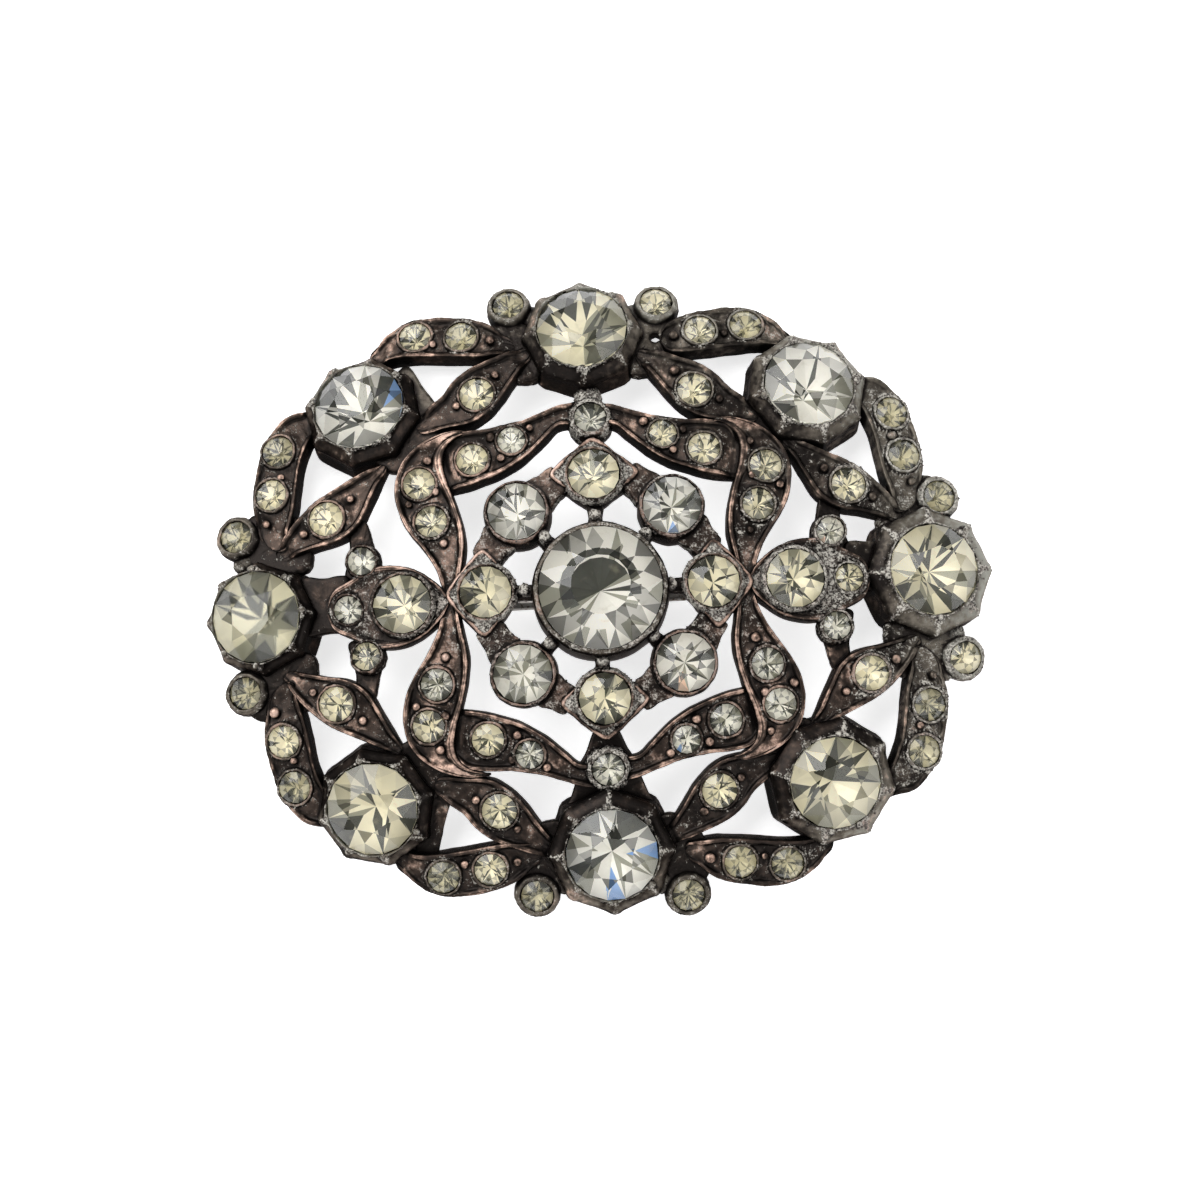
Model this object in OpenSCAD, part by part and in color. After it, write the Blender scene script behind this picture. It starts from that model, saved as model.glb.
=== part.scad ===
// Rhinestone brooch: a domed oval of soldered cups, collets and leaves set with round cut stones.
// The front faces +Z and the long side lies along X. The rim cups stand on z = 0.

/* [Dome] */
// Half length of the oval that the rim cups stand on
oval_a = 24.2; // [23.8:0.1:24.6]
// Half width of that oval
oval_b = 18.7; // [18.4:0.1:19]
// Height of the middle of the metal sheet above the surface that the brooch lies on
dome_top = 6.3; // [6.1:0.1:6.6]
// How far the sheet drops from the middle to the rim cups
dome_drop = 3.2; // [3:0.1:3.4]

/* [Stones] */
// Radius of the centre stone
centre_r = 4.4; // [4.3:0.05:4.45]
// Radius of the eight rim stones
rim_r = 3.3; // [3.2:0.05:3.35]
// Radius of the four halo stones in round collets, and of the main stone of each trefoil
halo_r = 2.1; // [2:0.05:2.1]
// Radius of the four halo stones in pointed collets
point_r = 1.85; // [1.8:0.05:1.85]
// Radius of the stones in the scrolls, rim leaves, flank collets and link collets
small_r = 1.15; // [1.1:0.05:1.15]
// Radius of the single stones in the inner leaves
inner_r = 1.25; // [1.2:0.05:1.25]
// Radius of the smallest stones
tiny_r = 1; // [0.95:0.05:1]
// Space between a stone and the metal round it
stone_gap = 0.06; // [0.05:0.01:0.08]

/* [Metal] */
// Thickness of a leaf or web of metal sheet below the middle of the sheet
sheet_below = 1; // [0.9:0.1:1.1]
// Height of a leaf's raised rim above the middle of the sheet
rim_above = 0.5; // [0.45:0.05:0.55]
// Width of a leaf's raised rim
rim_w = 0.36; // [0.32:0.02:0.4]
// Depth of the trough inside a leaf's rim
trough_depth = 0.4; // [0.3:0.05:0.45]
// Distance from the middle of a rim cup to a corner of its shoulder
cup_shoulder_r = 4.4; // [4.3:0.05:4.45]
// Distance from the middle of a rim cup to a corner of its foot
cup_foot_r = 4.6; // [4.5:0.05:4.65]
// Thickness of the pin
pin_d = 0.9; // [0.8:0.1:1]

/* [Hidden] */
silver = [0.36, 0.32, 0.3];
glass = [0.9, 0.88, 0.78];
steel = [0.55, 0.53, 0.5];
round_fn = 48;

// Height of a stone's girdle above the middle of the sheet
centre_lift = 2;
rim_lift = 1.2;
halo_lift = 1;
small_lift = 0.4;
// Shape of a cut stone, as shares of its radius
crown_share = 0.36;
table_share = 0.47;
girdle_share = 0.07;
pavilion_share = 0.72;
// How far a collet's lip stands above the girdle
lip_h = 0.15;
// Thickness of the collets' walls: halo and trefoil, flank, link, centre
wall = 0.32;
flank_wall = 0.52;
link_wall = 0.5;
centre_wall = 0.47;
// Depth of the collets below the middle of the sheet
collet_below = 1.3;
flank_below = 0.95;
centre_below = 1.7;
// A rim cup's sides, the height of its lip above the girdle, the distance from its middle to a
// corner of the lip, and how far below the girdle its shoulder is
cup_sides = 8;
cup_lip_h = 0.2;
cup_lip_r = 3.75;
cup_shoulder_drop = 0.6;
// Width of the collar round a leaf's stone
collar_w = 0.22;
// Where the centre stone sits, a little off the middle as in the hand-made piece
centre_spot = [0.2, -0.2];
// Radius of the halo's circle, and of the ring of solder beads between it and the centre
halo_circle = 8;
bead_circle = 5.25;
bead_r = 0.5;
bead_top = 1.2;
// The lower solder round each bead
fillet_r = 1.05;
fillet_top = -0.3;
// A pointed collet's corners: away from the centre, to its two sides, and toward the centre
POINTED = [[3.2, 0], [0.2, 3.5], [-2.5, 0], [0.2, -3.5]];
point_top = 0.75;
// The neck between a round collet and a point on a pointed collet's side
neck_r = 0.9;
neck_reach = 2.55;
neck_aim = [-0.8, 2.2];
// The solder between a flank collet or a link collet and the cup beside it
joint_r = 0.9;
joint_reach = 1.9;
joint_top = 0.2;
// Solder that fills the corners beside the two west cups and the south link collet: x, y, radius
SOLDER = [[-13, 14.9, 1.1], [-12.7, -16.6, 0.9], [1.3, -11.6, 0.8], [-1.3, -11.6, 0.8]];
// Top of the webs, below that of the leaves
web_top = -0.05;
// The pin's height, pads, legs, barrel and point, the gap between its pads and the setting, and how
// far its legs end below the pads' tops
pin_z = 2.3;
pad_r = 1.7;
pad_h = 0.6;
leg_w = 1.8;
barrel_w = 3;
barrel_r = 1.2;
tip_l = 2.2;
seat_gap = 0.05;
leg_sunk = 0.3;
// Height of the room for a stone above its girdle
room_h = 1.4;

// Columns of the tables of single settings: side along X, side along Y, and how far the hand-made
// piece sits from its true place along X and along Y
// Rim cups, clockwise from the north, with one more column: how much wider the cup is
rim_diagonal = [16.2, 14.3];
RIM = [
    [0, 1, 0, 0.6, 0.1],
    [1, 1, -0.15, -0.1, 0.15],
    [1, 0, -0.25, 0.3, 0.45],
    [1, -1, -0.3, 0, 0.35],
    [0, -1, -0.1, 0.3, 0.3],
    [-1, -1, -0.55, 0.1, 0],
    [-1, 0, -0.1, -0.2, -0.2],
    [-1, 1, -0.1, 0.2, 0]
];
// Halo collets, clockwise from the north: pointed, round, pointed, and so on
HALO = [
    [0, 1, 0.2, 0.2], [1, 1, -0.05, -0.05], [1, 0, 0.2, 0], [1, -1, 0.2, 0.1],
    [0, -1, 0.05, 0.25], [-1, -1, 0.05, -0.05], [-1, 0, 0.1, 0.2], [-1, 1, 0.25, 0.15]
];
// Link collets between the halo and the north and south cups
link_y = 12.7;
LINK = [[0, 1, 0.2, 0], [0, -1, 0, 0]];
// Flank collets beside the north and south cups, then beside the east and west cups
flank_north = [5.4, 21.6];
flank_east = [25.7, 5.85];
FLANK_N = [[1, 1, 0.15, 0], [1, -1, -0.2, -0.1], [-1, -1, -0.2, 0.45], [-1, 1, 0.1, 0.5]];
FLANK_E = [[1, 1, -0.6, 0], [1, -1, 0.45, -0.1], [-1, -1, 0, 0.4], [-1, 1, -0.2, 0.1]];
// Trefoils: the east one, then the west one
trefoil_main = [13.9, 0];
trefoil_outer = [17.95, 0];
trefoil_side = [16.8, 3.45];
TREFOIL = [[1, 1, 0.1, 0], [-1, 1, 0.05, -0.2]];
// Edge of a trefoil's north half from its inner tip to its outer end, and the corners of the web
// that runs from it to the inner leaf
TREFOIL_EDGE = [
    [10.6, 0], [11.1, 1], [11.9, 1.8], [13.1, 2.6], [14.6, 3],
    [16.2, 2.9], [17.8, 2.1], [19, 1.4], [19.5, 0]
];
TREFOIL_WEB = [[15.2, 2.4], [15.3, 4.4], [15.9, 6.8], [18, 5.8], [18.1, 4.2], [18.2, 2.4]];
// The bar from each trefoil to its rim cup: its ends along X, and its south and north edge
bar_ends = [18, 21.5];
BAR = [[-1.05, 2.9], [-1.8, 2.55]];

// Columns of the leaf tables: the points of the outer edge, those of the inner edge, the stones as
// x, y and radius, and the drift of the leaf in the NE, SE, SW and NW quarter. A leaf is drawn in
// the NE quarter and mirrored into the others
QUARTERS = [[1, 1], [1, -1], [-1, -1], [-1, 1]];
SCROLL_ALONG = [
    [[0.8, 14], [2.2, 13.6], [3.6, 13.1], [5.1, 12.6], [6.9, 12.3], [8.6, 12.2], [10.1, 11.9], [11, 10.9]],
    [[0.9, 12.2], [2.1, 12], [3, 11.2], [4.4, 9.95], [5.9, 9], [7.4, 8.4], [8.9, 7.95], [10.3, 7.75]],
    [[8.4, 9.95, small_r], [5.5, 11.2, tiny_r]],
    [[-0.15, 0], [0.15, 0.25], [0, -0.15], [-0.05, 0.15]]
];
SCROLL_ACROSS = [
    [
        [11.2, 0.6], [11.6, 2.2], [12.4, 3.7], [13.4, 5.1], [14.1, 6.6], [14.35, 8.3],
        [14, 9.9], [13, 11.2], [11.5, 12.1], [9.9, 12.5], [8.5, 12.5]
    ],
    [
        [10, 0.6], [9.7, 2.2], [9.45, 3.9], [9.55, 5.5], [10, 7.3], [10.5, 8.8],
        [10.75, 10.2], [10.5, 11.2], [9.9, 11.8], [9.2, 12.15], [8.5, 12.3]
    ],
    [[12.5, 8.7, small_r], [11.75, 5.8, small_r]],
    [[0.1, -0.2], [0, -0.1], [-0.05, -0.2], [0.15, -0.1]]
];
RIM_LEAF_ALONG = [
    [[5.8, 19.6], [7.2, 20.5], [8.9, 20.95], [10.6, 21.2], [12.2, 21.05], [13.8, 20.4], [15.3, 19.2]],
    [[5.5, 17.9], [7.4, 17.65], [9.3, 17.8], [11.3, 18], [12.8, 18.1], [14, 18], [15, 17.6]],
    [[8.8, 19.4, small_r], [12.2, 19.7, small_r]],
    [[-0.2, -0.2], [0.2, -0.2], [0, 0.3], [-0.05, 0.4]]
];
RIM_LEAF_ACROSS = [
    [[20.2, 15.5], [21.9, 15], [23, 13.8], [23.75, 12.35], [24.25, 10.7], [24.45, 8.8], [24.4, 6.9]],
    [[19.8, 13.6], [20.45, 12.4], [20.95, 11], [21.2, 9.4], [21.45, 7.8], [21.8, 6.6], [22.1, 5.4]],
    [[22.5, 12.4, small_r], [23.1, 9.1, small_r]],
    [[-0.35, -0.1], [0.2, -0.1], [0, 0], [-0.1, -0.3]]
];
INNER_LEAF_ALONG = [
    [[4.6, 18.4], [6.7, 17.6], [8.4, 16.9], [9.6, 16], [10.6, 14.8], [12.1, 13.7]],
    [[4.1, 17.2], [5.2, 15.7], [6.1, 14.4], [7.3, 13.2], [8.7, 12.5], [11.6, 12.2]],
    [[7.9, 14.8, inner_r]],
    [[-0.05, -0.3], [-0.1, 0.2], [0, -0.3], [0, 0.3]]
];
INNER_LEAF_ACROSS = [
    [[15.3, 10.6], [17.4, 9.55], [19.2, 8.65], [20.7, 7.55], [21.9, 6.3], [22.9, 4.9]],
    [[14.7, 10.1], [15.9, 7.7], [16.9, 6], [18.3, 5.1], [20.1, 4.7], [22, 4.2]],
    [[19.1, 6.8, inner_r]],
    [[-0.6, 0.05], [0.1, -0.05], [0, 0], [-0.1, -0.2]]
];
// Webs of sheet that join a cup, a collet and the ends of the leaves, as corners in the NE quarter
WEB_NORTH = [[3.2, 16.6], [3.6, 19.8], [4.4, 20.9], [6.4, 21], [7, 19.2], [6.2, 17.2], [4.8, 16.2]];
WEB_EAST = [[20.9, 3.1], [20.6, 5], [21.6, 7.2], [24.8, 7.6], [26.2, 6], [25.6, 4.2], [23, 3]];
WEB_CORNER = [[10.6, 12], [11.6, 13.6], [13.6, 14], [15.8, 12], [15.3, 10.4], [13.6, 9.8], [12, 10.6]];
// The small hole through the web beside the north cup, in the NE quarter
web_hole = [5.35, 19.15];
web_hole_r = 0.35;

// Shape of the dome
function dome_z(p) = dome_top - dome_drop * (pow(p.x / oval_a, 2) + pow(p.y / oval_b, 2));
function fall(p) = 2 * dome_drop * [p.x / pow(oval_a, 2), p.y / pow(oval_b, 2)];
function heading(p) = atan2(fall(p).y, fall(p).x);
function slope(p) = atan(norm(fall(p)));

// A point above the plan, as a point of the sheet that touches the dome over c
function in_sheet(p, c) =
    let (h = heading(c), d = p - c)
    let (u = (d.x * cos(h) + d.y * sin(h)) / cos(slope(c)), v = d.y * cos(h) - d.x * sin(h))
    [u * cos(h) - v * sin(h), u * sin(h) + v * cos(h)];
function mean(points) = [for (k = [0:1]) [for (p = points) p[k]] * [for (p = points) 1 / len(points)]];

// Places of the single settings
function placed(base, row) = [base.x * row[0] + row[2], base.y * row[1] + row[3]];
function rim_spot(k) = placed(k % 2 == 0 ? [oval_a, oval_b] : rim_diagonal, RIM[k]);
function halo_spot(k) = placed(halo_circle * (k % 2 == 0 ? [1, 1] : [sin(45), sin(45)]), HALO[k]);
function halo_stone_r(k) = k % 2 == 0 ? point_r : halo_r;
function link_spot(k) = placed([0, link_y], LINK[k]);
function flank_spot(k) = k < 4 ? placed(flank_north, FLANK_N[k]) : placed(flank_east, FLANK_E[k - 4]);
function trefoil_spot(k) = placed(trefoil_main, TREFOIL[k]);
function trefoil_side_spot(k) =
    let (base = [trefoil_side, trefoil_outer, [trefoil_side.x, -trefoil_side.y]][k % 3])
    placed(base, TREFOIL[floor(k / 3)]);

// Places of a leaf's points in quarter q
function in_quarter(p, leaf, q) = placed(p, concat(QUARTERS[q], leaf[3][q]));
function leaf_middle(leaf, q) = mean([for (s = leaf[2]) in_quarter(s, leaf, q)]);

LEAVES = [
    SCROLL_ALONG, SCROLL_ACROSS, RIM_LEAF_ALONG, RIM_LEAF_ACROSS, INNER_LEAF_ALONG, INNER_LEAF_ACROSS
];
// Steps along a leaf's outline, and the shares of a leaf's length where its trough starts and ends
leaf_steps = 16;
trough_from = 0.06;
trough_to = 0.95;

// Directions and steps in plan
function turned(p, a) = [p.x * cos(a) - p.y * sin(a), p.x * sin(a) + p.y * cos(a)];
function toward(a, b, step) = a + step * (b - a) / norm(b - a);
function halo_angle(k) = atan2(HALO[k][1], HALO[k][0]);

// A smooth curve through a list of points
function along(p, t) =
    let (n = len(p) - 1, k = min(n - 1, floor(t * n)), u = t * n - k)
    let (a = p[max(0, k - 1)], b = p[k], c = p[k + 1], d = p[min(n, k + 2)])
    0.5 * (2 * b + u * (c - a) + u * u * (2 * a - 5 * b + 4 * c - d)
        + u * u * u * (3 * b - a - 3 * c + d));
// The outline of a leaf, drawn in by a rim's width between the shares from and to of its length
function leaf_outline(leaf, q, inset, from, to) =
    let (c = leaf_middle(leaf, q))
    let (shares = [for (k = [0:leaf_steps]) from + (to - from) * k / leaf_steps])
    let (pairs = [for (t = shares) [along(leaf[0], t), along(leaf[1], t)]])
    let (wide = [for (w = pairs) if (norm(w[1] - w[0]) > 2 * inset + 0.1) w])
    let (drawn = [for (w = wide) [toward(w[0], w[1], inset), toward(w[1], w[0], inset)]])
    [for (p = concat([for (w = drawn) w[0]], [for (k = [len(drawn) - 1:-1:0]) drawn[k][1]]))
        in_sheet(in_quarter(p, leaf, q), c)];

// Stands its children on the dome over p, square to it
module on_dome(p) {
    translate([p.x, p.y, dome_z(p)])
        rotate([0, 0, heading(p)])
            rotate([0, slope(p), 0])
                rotate([0, 0, -heading(p)])
                    children();
}

// A cut stone with its girdle at z = 0: a table, facets down to a girdle of n sides, a pointed back
module cut_stone(r, n) {
    top = (crown_share + girdle_share) * r;
    function ring(radius, count, z) =
        [for (k = [0:count - 1]) [radius * cos(k * 360 / count), radius * sin(k * 360 / count), z]];
    table_n = 8;
    up = table_n;
    low = up + n;
    tip = low + n;
    plain_crown = [for (k = [0:n - 1]) [k, (k + 1) % n, up + (k + 1) % n, up + k]];
    star_crown = [for (k = [0:table_n - 1]) let (next = (k + 1) % table_n, mid = up + 2 * k + 1) each [
        [k, next, mid],
        [k, mid, mid - 1],
        [next, up + (2 * k + 2) % n, mid]
    ]];
    polyhedron(
        points = concat(
            ring(table_share * r, table_n, top),
            ring(r, n, girdle_share * r),
            ring(r, n, 0),
            [[0, 0, -pavilion_share * r]]
        ),
        faces = concat(
            [[for (k = [table_n - 1:-1:0]) k]],
            n == table_n ? plain_crown : star_crown,
            [for (k = [0:n - 1]) [up + k, up + (k + 1) % n, low + (k + 1) % n, low + k]],
            [for (k = [0:n - 1]) [low + k, low + (k + 1) % n, tip]]
        )
    );
}

// The room that a stone needs in the metal, open at the top
module stone_room(r) {
    wide = r + stone_gap;
    tip = -pavilion_share * r - stone_gap;
    rotate_extrude($fn = round_fn)
        polygon([[0, tip], [wide, -stone_gap / 2], [wide, room_h], [0, room_h]]);
}

// A round post between two heights, measured from the middle of the sheet
module post(r, from, to) {
    translate([0, 0, from])
        cylinder(h = to - from, r = r, $fn = round_fn);
}

// Its children, or the room for them, where each group of stones sits
module at_rim(k) {
    on_dome(rim_spot(k)) translate([0, 0, rim_lift]) children();
}
module at_halo(k) {
    on_dome(halo_spot(k)) translate([0, 0, halo_lift]) children();
}
module at_centre() {
    on_dome(centre_spot) translate([0, 0, centre_lift]) children();
}
module at_link(k) {
    on_dome(link_spot(k)) translate([0, 0, small_lift]) children();
}
module at_flank(k) {
    on_dome(flank_spot(k)) translate([0, 0, small_lift]) children();
}
module at_trefoil(k) {
    on_dome(trefoil_spot(k)) translate([0, 0, halo_lift]) children();
}
module at_trefoil_side(k) {
    c = trefoil_spot(floor(k / 3));
    p = in_sheet(trefoil_side_spot(k), c);
    on_dome(c) translate([p.x, p.y, small_lift]) children();
}
module at_leaf_stone(leaf, q, s) {
    c = leaf_middle(leaf, q);
    p = in_sheet(in_quarter(s, leaf, q), c);
    on_dome(c) translate([p.x, p.y, small_lift]) children();
}

// A rim cup: eight straight sides up to a shoulder, then sloping in to the lip round the stone.
// Its foot is as far below the middle of the sheet as brings the lowest corner to z = 0
module rim_cup(k) {
    p = rim_spot(k);
    foot_r = cup_foot_r + RIM[k][4];
    foot = (foot_r * sin(slope(p)) - dome_z(p)) / cos(slope(p));
    shoulder = [cup_shoulder_r + RIM[k][4], rim_lift - cup_shoulder_drop];
    lip = [cup_lip_r, rim_lift + cup_lip_h];
    on_dome(p)
        rotate([0, 0, heading(p)])
            rotate_extrude($fn = cup_sides)
                polygon([[0, foot], [foot_r, foot], shoulder, lip, [0, lip.y]]);
}

// A halo collet: round, or pointed with its long tip away from the centre
module halo_collet(k) {
    on_dome(halo_spot(k)) {
        post(halo_stone_r(k) + wall, -collet_below, halo_lift + lip_h);
        if (k % 2 == 0)
            translate([0, 0, -collet_below])
                linear_extrude(collet_below + point_top)
                    rotate([0, 0, halo_angle(k)])
                        polygon(POINTED);
    }
}
module halo_neck(k, side) {
    aim = halo_spot(k) + turned([neck_aim.x, neck_aim.y * side], halo_angle(k));
    p = toward(halo_spot((k - side + 8) % 8), aim, neck_reach);
    on_dome(p) post(neck_r, -collet_below, rim_above);
}
// The solder bead between the centre collet and a halo collet
module solder_bead(k) {
    on_dome(turned([bead_circle, 0], halo_angle(k))) {
        post(bead_r, -collet_below, bead_top);
        post(fillet_r, -collet_below, fillet_top);
    }
}

module centre_collet() {
    on_dome(centre_spot) post(centre_r + centre_wall, -centre_below, centre_lift + lip_h);
}
module link_collet(k) {
    on_dome(link_spot(k)) post(small_r + link_wall, -collet_below, small_lift + lip_h);
    on_dome(toward(link_spot(k), rim_spot(4 * k), joint_reach)) post(joint_r, -collet_below, joint_top);
}
// A flank collet, and the solder between it and the rim cup beside it
module flank_collet(k) {
    cup = k < 4 ? (k == 0 || k == 3 ? 0 : 4) : (k < 6 ? 2 : 6);
    on_dome(flank_spot(k)) post(small_r + flank_wall, -flank_below, small_lift + lip_h);
    on_dome(toward(flank_spot(k), rim_spot(cup), joint_reach)) post(joint_r, -flank_below, joint_top);
}

// A plate of sheet with given corners, in the sheet over c
module plate(corners, c, top) {
    translate([0, 0, -sheet_below])
        linear_extrude(sheet_below + top)
            polygon([for (p = corners) in_sheet(p, c)]);
}

module trefoil(k) {
    c = trefoil_spot(k);
    row = TREFOIL[k];
    north = [for (j = [0:24]) along(TREFOIL_EDGE, j / 24)];
    south = [for (j = [23:-1:1]) [north[j].x, -north[j].y]];
    on_dome(c) {
        plate([for (p = concat(north, south)) placed(p, row)], c, rim_above);
        for (side = [-1, 1])
            plate([for (p = TREFOIL_WEB) placed([p.x, p.y * side], row)], c, web_top);
        bar = [for (e = [[0, 0], [0, 1], [1, 1], [1, 0]]) [bar_ends[e.x], BAR[k][e.y]]];
        plate([for (p = bar) placed(p, row)], c, web_top);
        post(halo_r + wall, -sheet_below, halo_lift + lip_h);
        for (j = [0:2]) {
            p = in_sheet(trefoil_side_spot(3 * k + j), c);
            translate(p) post(tiny_r + wall, -sheet_below, small_lift + lip_h);
        }
    }
}

// A leaf: a plate with a raised rim, a trough inside it and a collar round each stone
module leaf(leaf, q) {
    on_dome(leaf_middle(leaf, q)) {
        difference() {
            translate([0, 0, -sheet_below])
                linear_extrude(sheet_below + rim_above)
                    polygon(leaf_outline(leaf, q, 0, 0, 1));
            translate([0, 0, rim_above - trough_depth])
                linear_extrude(2 * trough_depth)
                    polygon(leaf_outline(leaf, q, rim_w, trough_from, trough_to));
        }
        for (s = leaf[2]) {
            p = in_sheet(in_quarter(s, leaf, q), leaf_middle(leaf, q));
            translate(p) post(s[2] + collar_w, -sheet_below / 2, small_lift + lip_h);
        }
    }
}

// A web in quarter q
module web(corners, q) {
    drawn = [for (p = corners) [p.x * QUARTERS[q].x, p.y * QUARTERS[q].y]];
    c = mean(drawn);
    on_dome(c) plate(drawn, c, web_top);
}

module setting() {
    color(silver)
        difference() {
            union() {
                centre_collet();
                for (k = [0:7]) {
                    rim_cup(k);
                    halo_collet(k);
                    solder_bead(k);
                    flank_collet(k);
                }
                for (k = [0:2:6], side = [-1, 1])
                    halo_neck(k, side);
                for (k = [0:1]) {
                    link_collet(k);
                    trefoil(k);
                }
                for (s = SOLDER)
                    on_dome([s.x, s.y]) post(s.z, -sheet_below, 0);
                for (q = [0:3]) {
                    for (l = LEAVES)
                        leaf(l, q);
                    for (w = [WEB_NORTH, WEB_EAST, WEB_CORNER])
                        web(w, q);
                }
            }
            at_centre() stone_room(centre_r);
            for (k = [0:7]) {
                at_rim(k) stone_room(rim_r);
                at_halo(k) stone_room(halo_stone_r(k));
                at_flank(k) stone_room(small_r);
            }
            for (k = [0:1]) {
                at_link(k) stone_room(small_r);
                at_trefoil(k) stone_room(halo_r);
            }
            for (k = [0:5])
                at_trefoil_side(k) stone_room(tiny_r);
            for (q = [0:3], l = LEAVES, s = l[2])
                at_leaf_stone(l, q, s) stone_room(s[2]);
            on_dome(web_hole) post(web_hole_r, -2 * sheet_below, 2 * sheet_below);
        }
}

module centre_stone() {
    color(glass) at_centre() cut_stone(centre_r, 16);
}
module rim_stone(k) {
    color(glass) at_rim(k) cut_stone(rim_r, 16);
}
module halo_stone(k) {
    color(glass) at_halo(k) cut_stone(halo_stone_r(k), 16);
}
module link_stone(k) {
    color(glass) at_link(k) cut_stone(small_r, 8);
}
module trefoil_stone(k) {
    color(glass) at_trefoil(k) cut_stone(halo_r, 16);
}
module trefoil_side_stone(k) {
    color(glass) at_trefoil_side(k) cut_stone(tiny_r, 8);
}
module flank_stone(k) {
    color(glass) at_flank(k) cut_stone(small_r, 8);
}
// All the stones of one or two kinds of leaf
module leaf_stones(leaves) {
    color(glass)
        for (q = [0:3], l = leaves, s = l[2])
            at_leaf_stone(l, q, s) cut_stone(s[2], 8);
}

// The pin at the back, closed in its catch: a pad under each trefoil, a hinge block to the west, a
// catch ring to the east, and the pin between them
module pin_clasp() {
    color(steel) {
        for (k = [0:1]) {
            c = trefoil_spot(k);
            on_dome(c) post(pad_r, -sheet_below - seat_gap - pad_h, -sheet_below - seat_gap);
            translate([c.x - leg_w / 2, c.y - leg_w / 2, pin_z])
                cube([leg_w, leg_w, dome_z(c) - sheet_below - seat_gap - leg_sunk - pin_z]);
        }
        translate([trefoil_spot(1).x, trefoil_spot(1).y, pin_z])
            rotate([90, 0, 0])
                cylinder(h = barrel_w, r = barrel_r, center = true, $fn = round_fn);
        pin_y = (trefoil_spot(0).y + trefoil_spot(1).y) / 2;
        translate([trefoil_spot(1).x, pin_y, pin_z])
            rotate([0, 90, 0])
                cylinder(h = trefoil_spot(0).x - trefoil_spot(1).x, d = pin_d, $fn = round_fn);
        translate([trefoil_spot(0).x, pin_y, pin_z])
            rotate([0, 90, 0])
                cylinder(h = tip_l, d1 = pin_d, d2 = pin_d / 4, $fn = round_fn);
        translate([trefoil_spot(0).x, trefoil_spot(0).y, pin_z])
            rotate([0, 90, 0])
                cylinder(h = leg_w, r = barrel_r, center = true, $fn = round_fn);
    }
}

setting();
centre_stone();
for (k = [1:8])
    rim_stone(k - 1);
for (k = [1:8])
    halo_stone(k - 1);
for (k = [1:2])
    link_stone(k - 1);
for (k = [1:2])
    trefoil_stone(k - 1);
for (k = [1:6])
    trefoil_side_stone(k - 1);
for (k = [1:8])
    flank_stone(k - 1);
leaf_stones([SCROLL_ALONG, SCROLL_ACROSS]);  // scroll_stones
leaf_stones([RIM_LEAF_ALONG, RIM_LEAF_ACROSS]);  // rim_leaf_stones
leaf_stones([INNER_LEAF_ALONG, INNER_LEAF_ACROSS]);  // inner_leaf_stones
pin_clasp();
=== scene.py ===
"""Looks of a rhinestone brooch: tarnished cups, collets and leaves soldered together, set with foiled stones.

Shapes are worked out in millimetres in the frame of the CAD model, and become metres where a mesh is made.
"""
import math
import random

import bmesh
import bpy
import numpy as np
from mathutils import Matrix, Vector, noise
from mathutils.bvhtree import BVHTree


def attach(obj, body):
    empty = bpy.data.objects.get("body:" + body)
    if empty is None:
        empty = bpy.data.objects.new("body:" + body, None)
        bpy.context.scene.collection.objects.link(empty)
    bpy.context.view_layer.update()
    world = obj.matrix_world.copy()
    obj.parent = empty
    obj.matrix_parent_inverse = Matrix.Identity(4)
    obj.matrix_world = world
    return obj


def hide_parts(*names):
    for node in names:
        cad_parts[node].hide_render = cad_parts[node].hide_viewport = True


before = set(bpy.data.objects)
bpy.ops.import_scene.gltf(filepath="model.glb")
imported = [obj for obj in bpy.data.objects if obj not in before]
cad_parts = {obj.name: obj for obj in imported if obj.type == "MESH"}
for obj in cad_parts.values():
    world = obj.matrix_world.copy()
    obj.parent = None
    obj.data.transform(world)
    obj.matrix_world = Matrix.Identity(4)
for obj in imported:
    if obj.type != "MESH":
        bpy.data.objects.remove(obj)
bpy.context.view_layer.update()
MM = 0.001

# The dome that the metal follows, as in the part's source
OVAL = (24.2, 18.7)
DOME_TOP = 6.3
DOME_DROP = 3.2
# Shares of a stone's radius
PAVILION = 0.72
CROWN = 0.36
TABLE = 0.47
GIRDLE = 0.07
# Heights of the girdles above the middle of the sheet, and of the collets' lips above the girdle
RIM_LIFT = 1.2
HALO_LIFT = 1
SMALL_LIFT = 0.4
LIP = 0.15
# The sheet: its underside, a leaf's rim and trough, and the depth of the collets
SHEET_BELOW = 1
RIM_TOP = 0.5
RIM_WIDTH = 0.36
TROUGH = 0.4
WEB_TOP = -0.05
COLLET_BELOW = 1.3
CENTRE_BELOW = 1.7
FLANK_BELOW = 0.95
# Corner radii of a rim cup's shoulder, foot and lip, and how much wider each of the eight cups is
SHOULDER_R = 4.4
FOOT_R = 4.6
LIP_CORNER_R = 3.75
CUP_WIDER = (0.1, 0.15, 0.45, 0.35, 0.3, 0, -0.2, 0)
# A pointed collet's corners: away from the centre, to its sides, and toward the centre
POINTED = ((3.2, 0), (0.2, 3.5), (-2.5, 0), (0.2, -3.5))
POINT_TOP = 0.75

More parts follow.
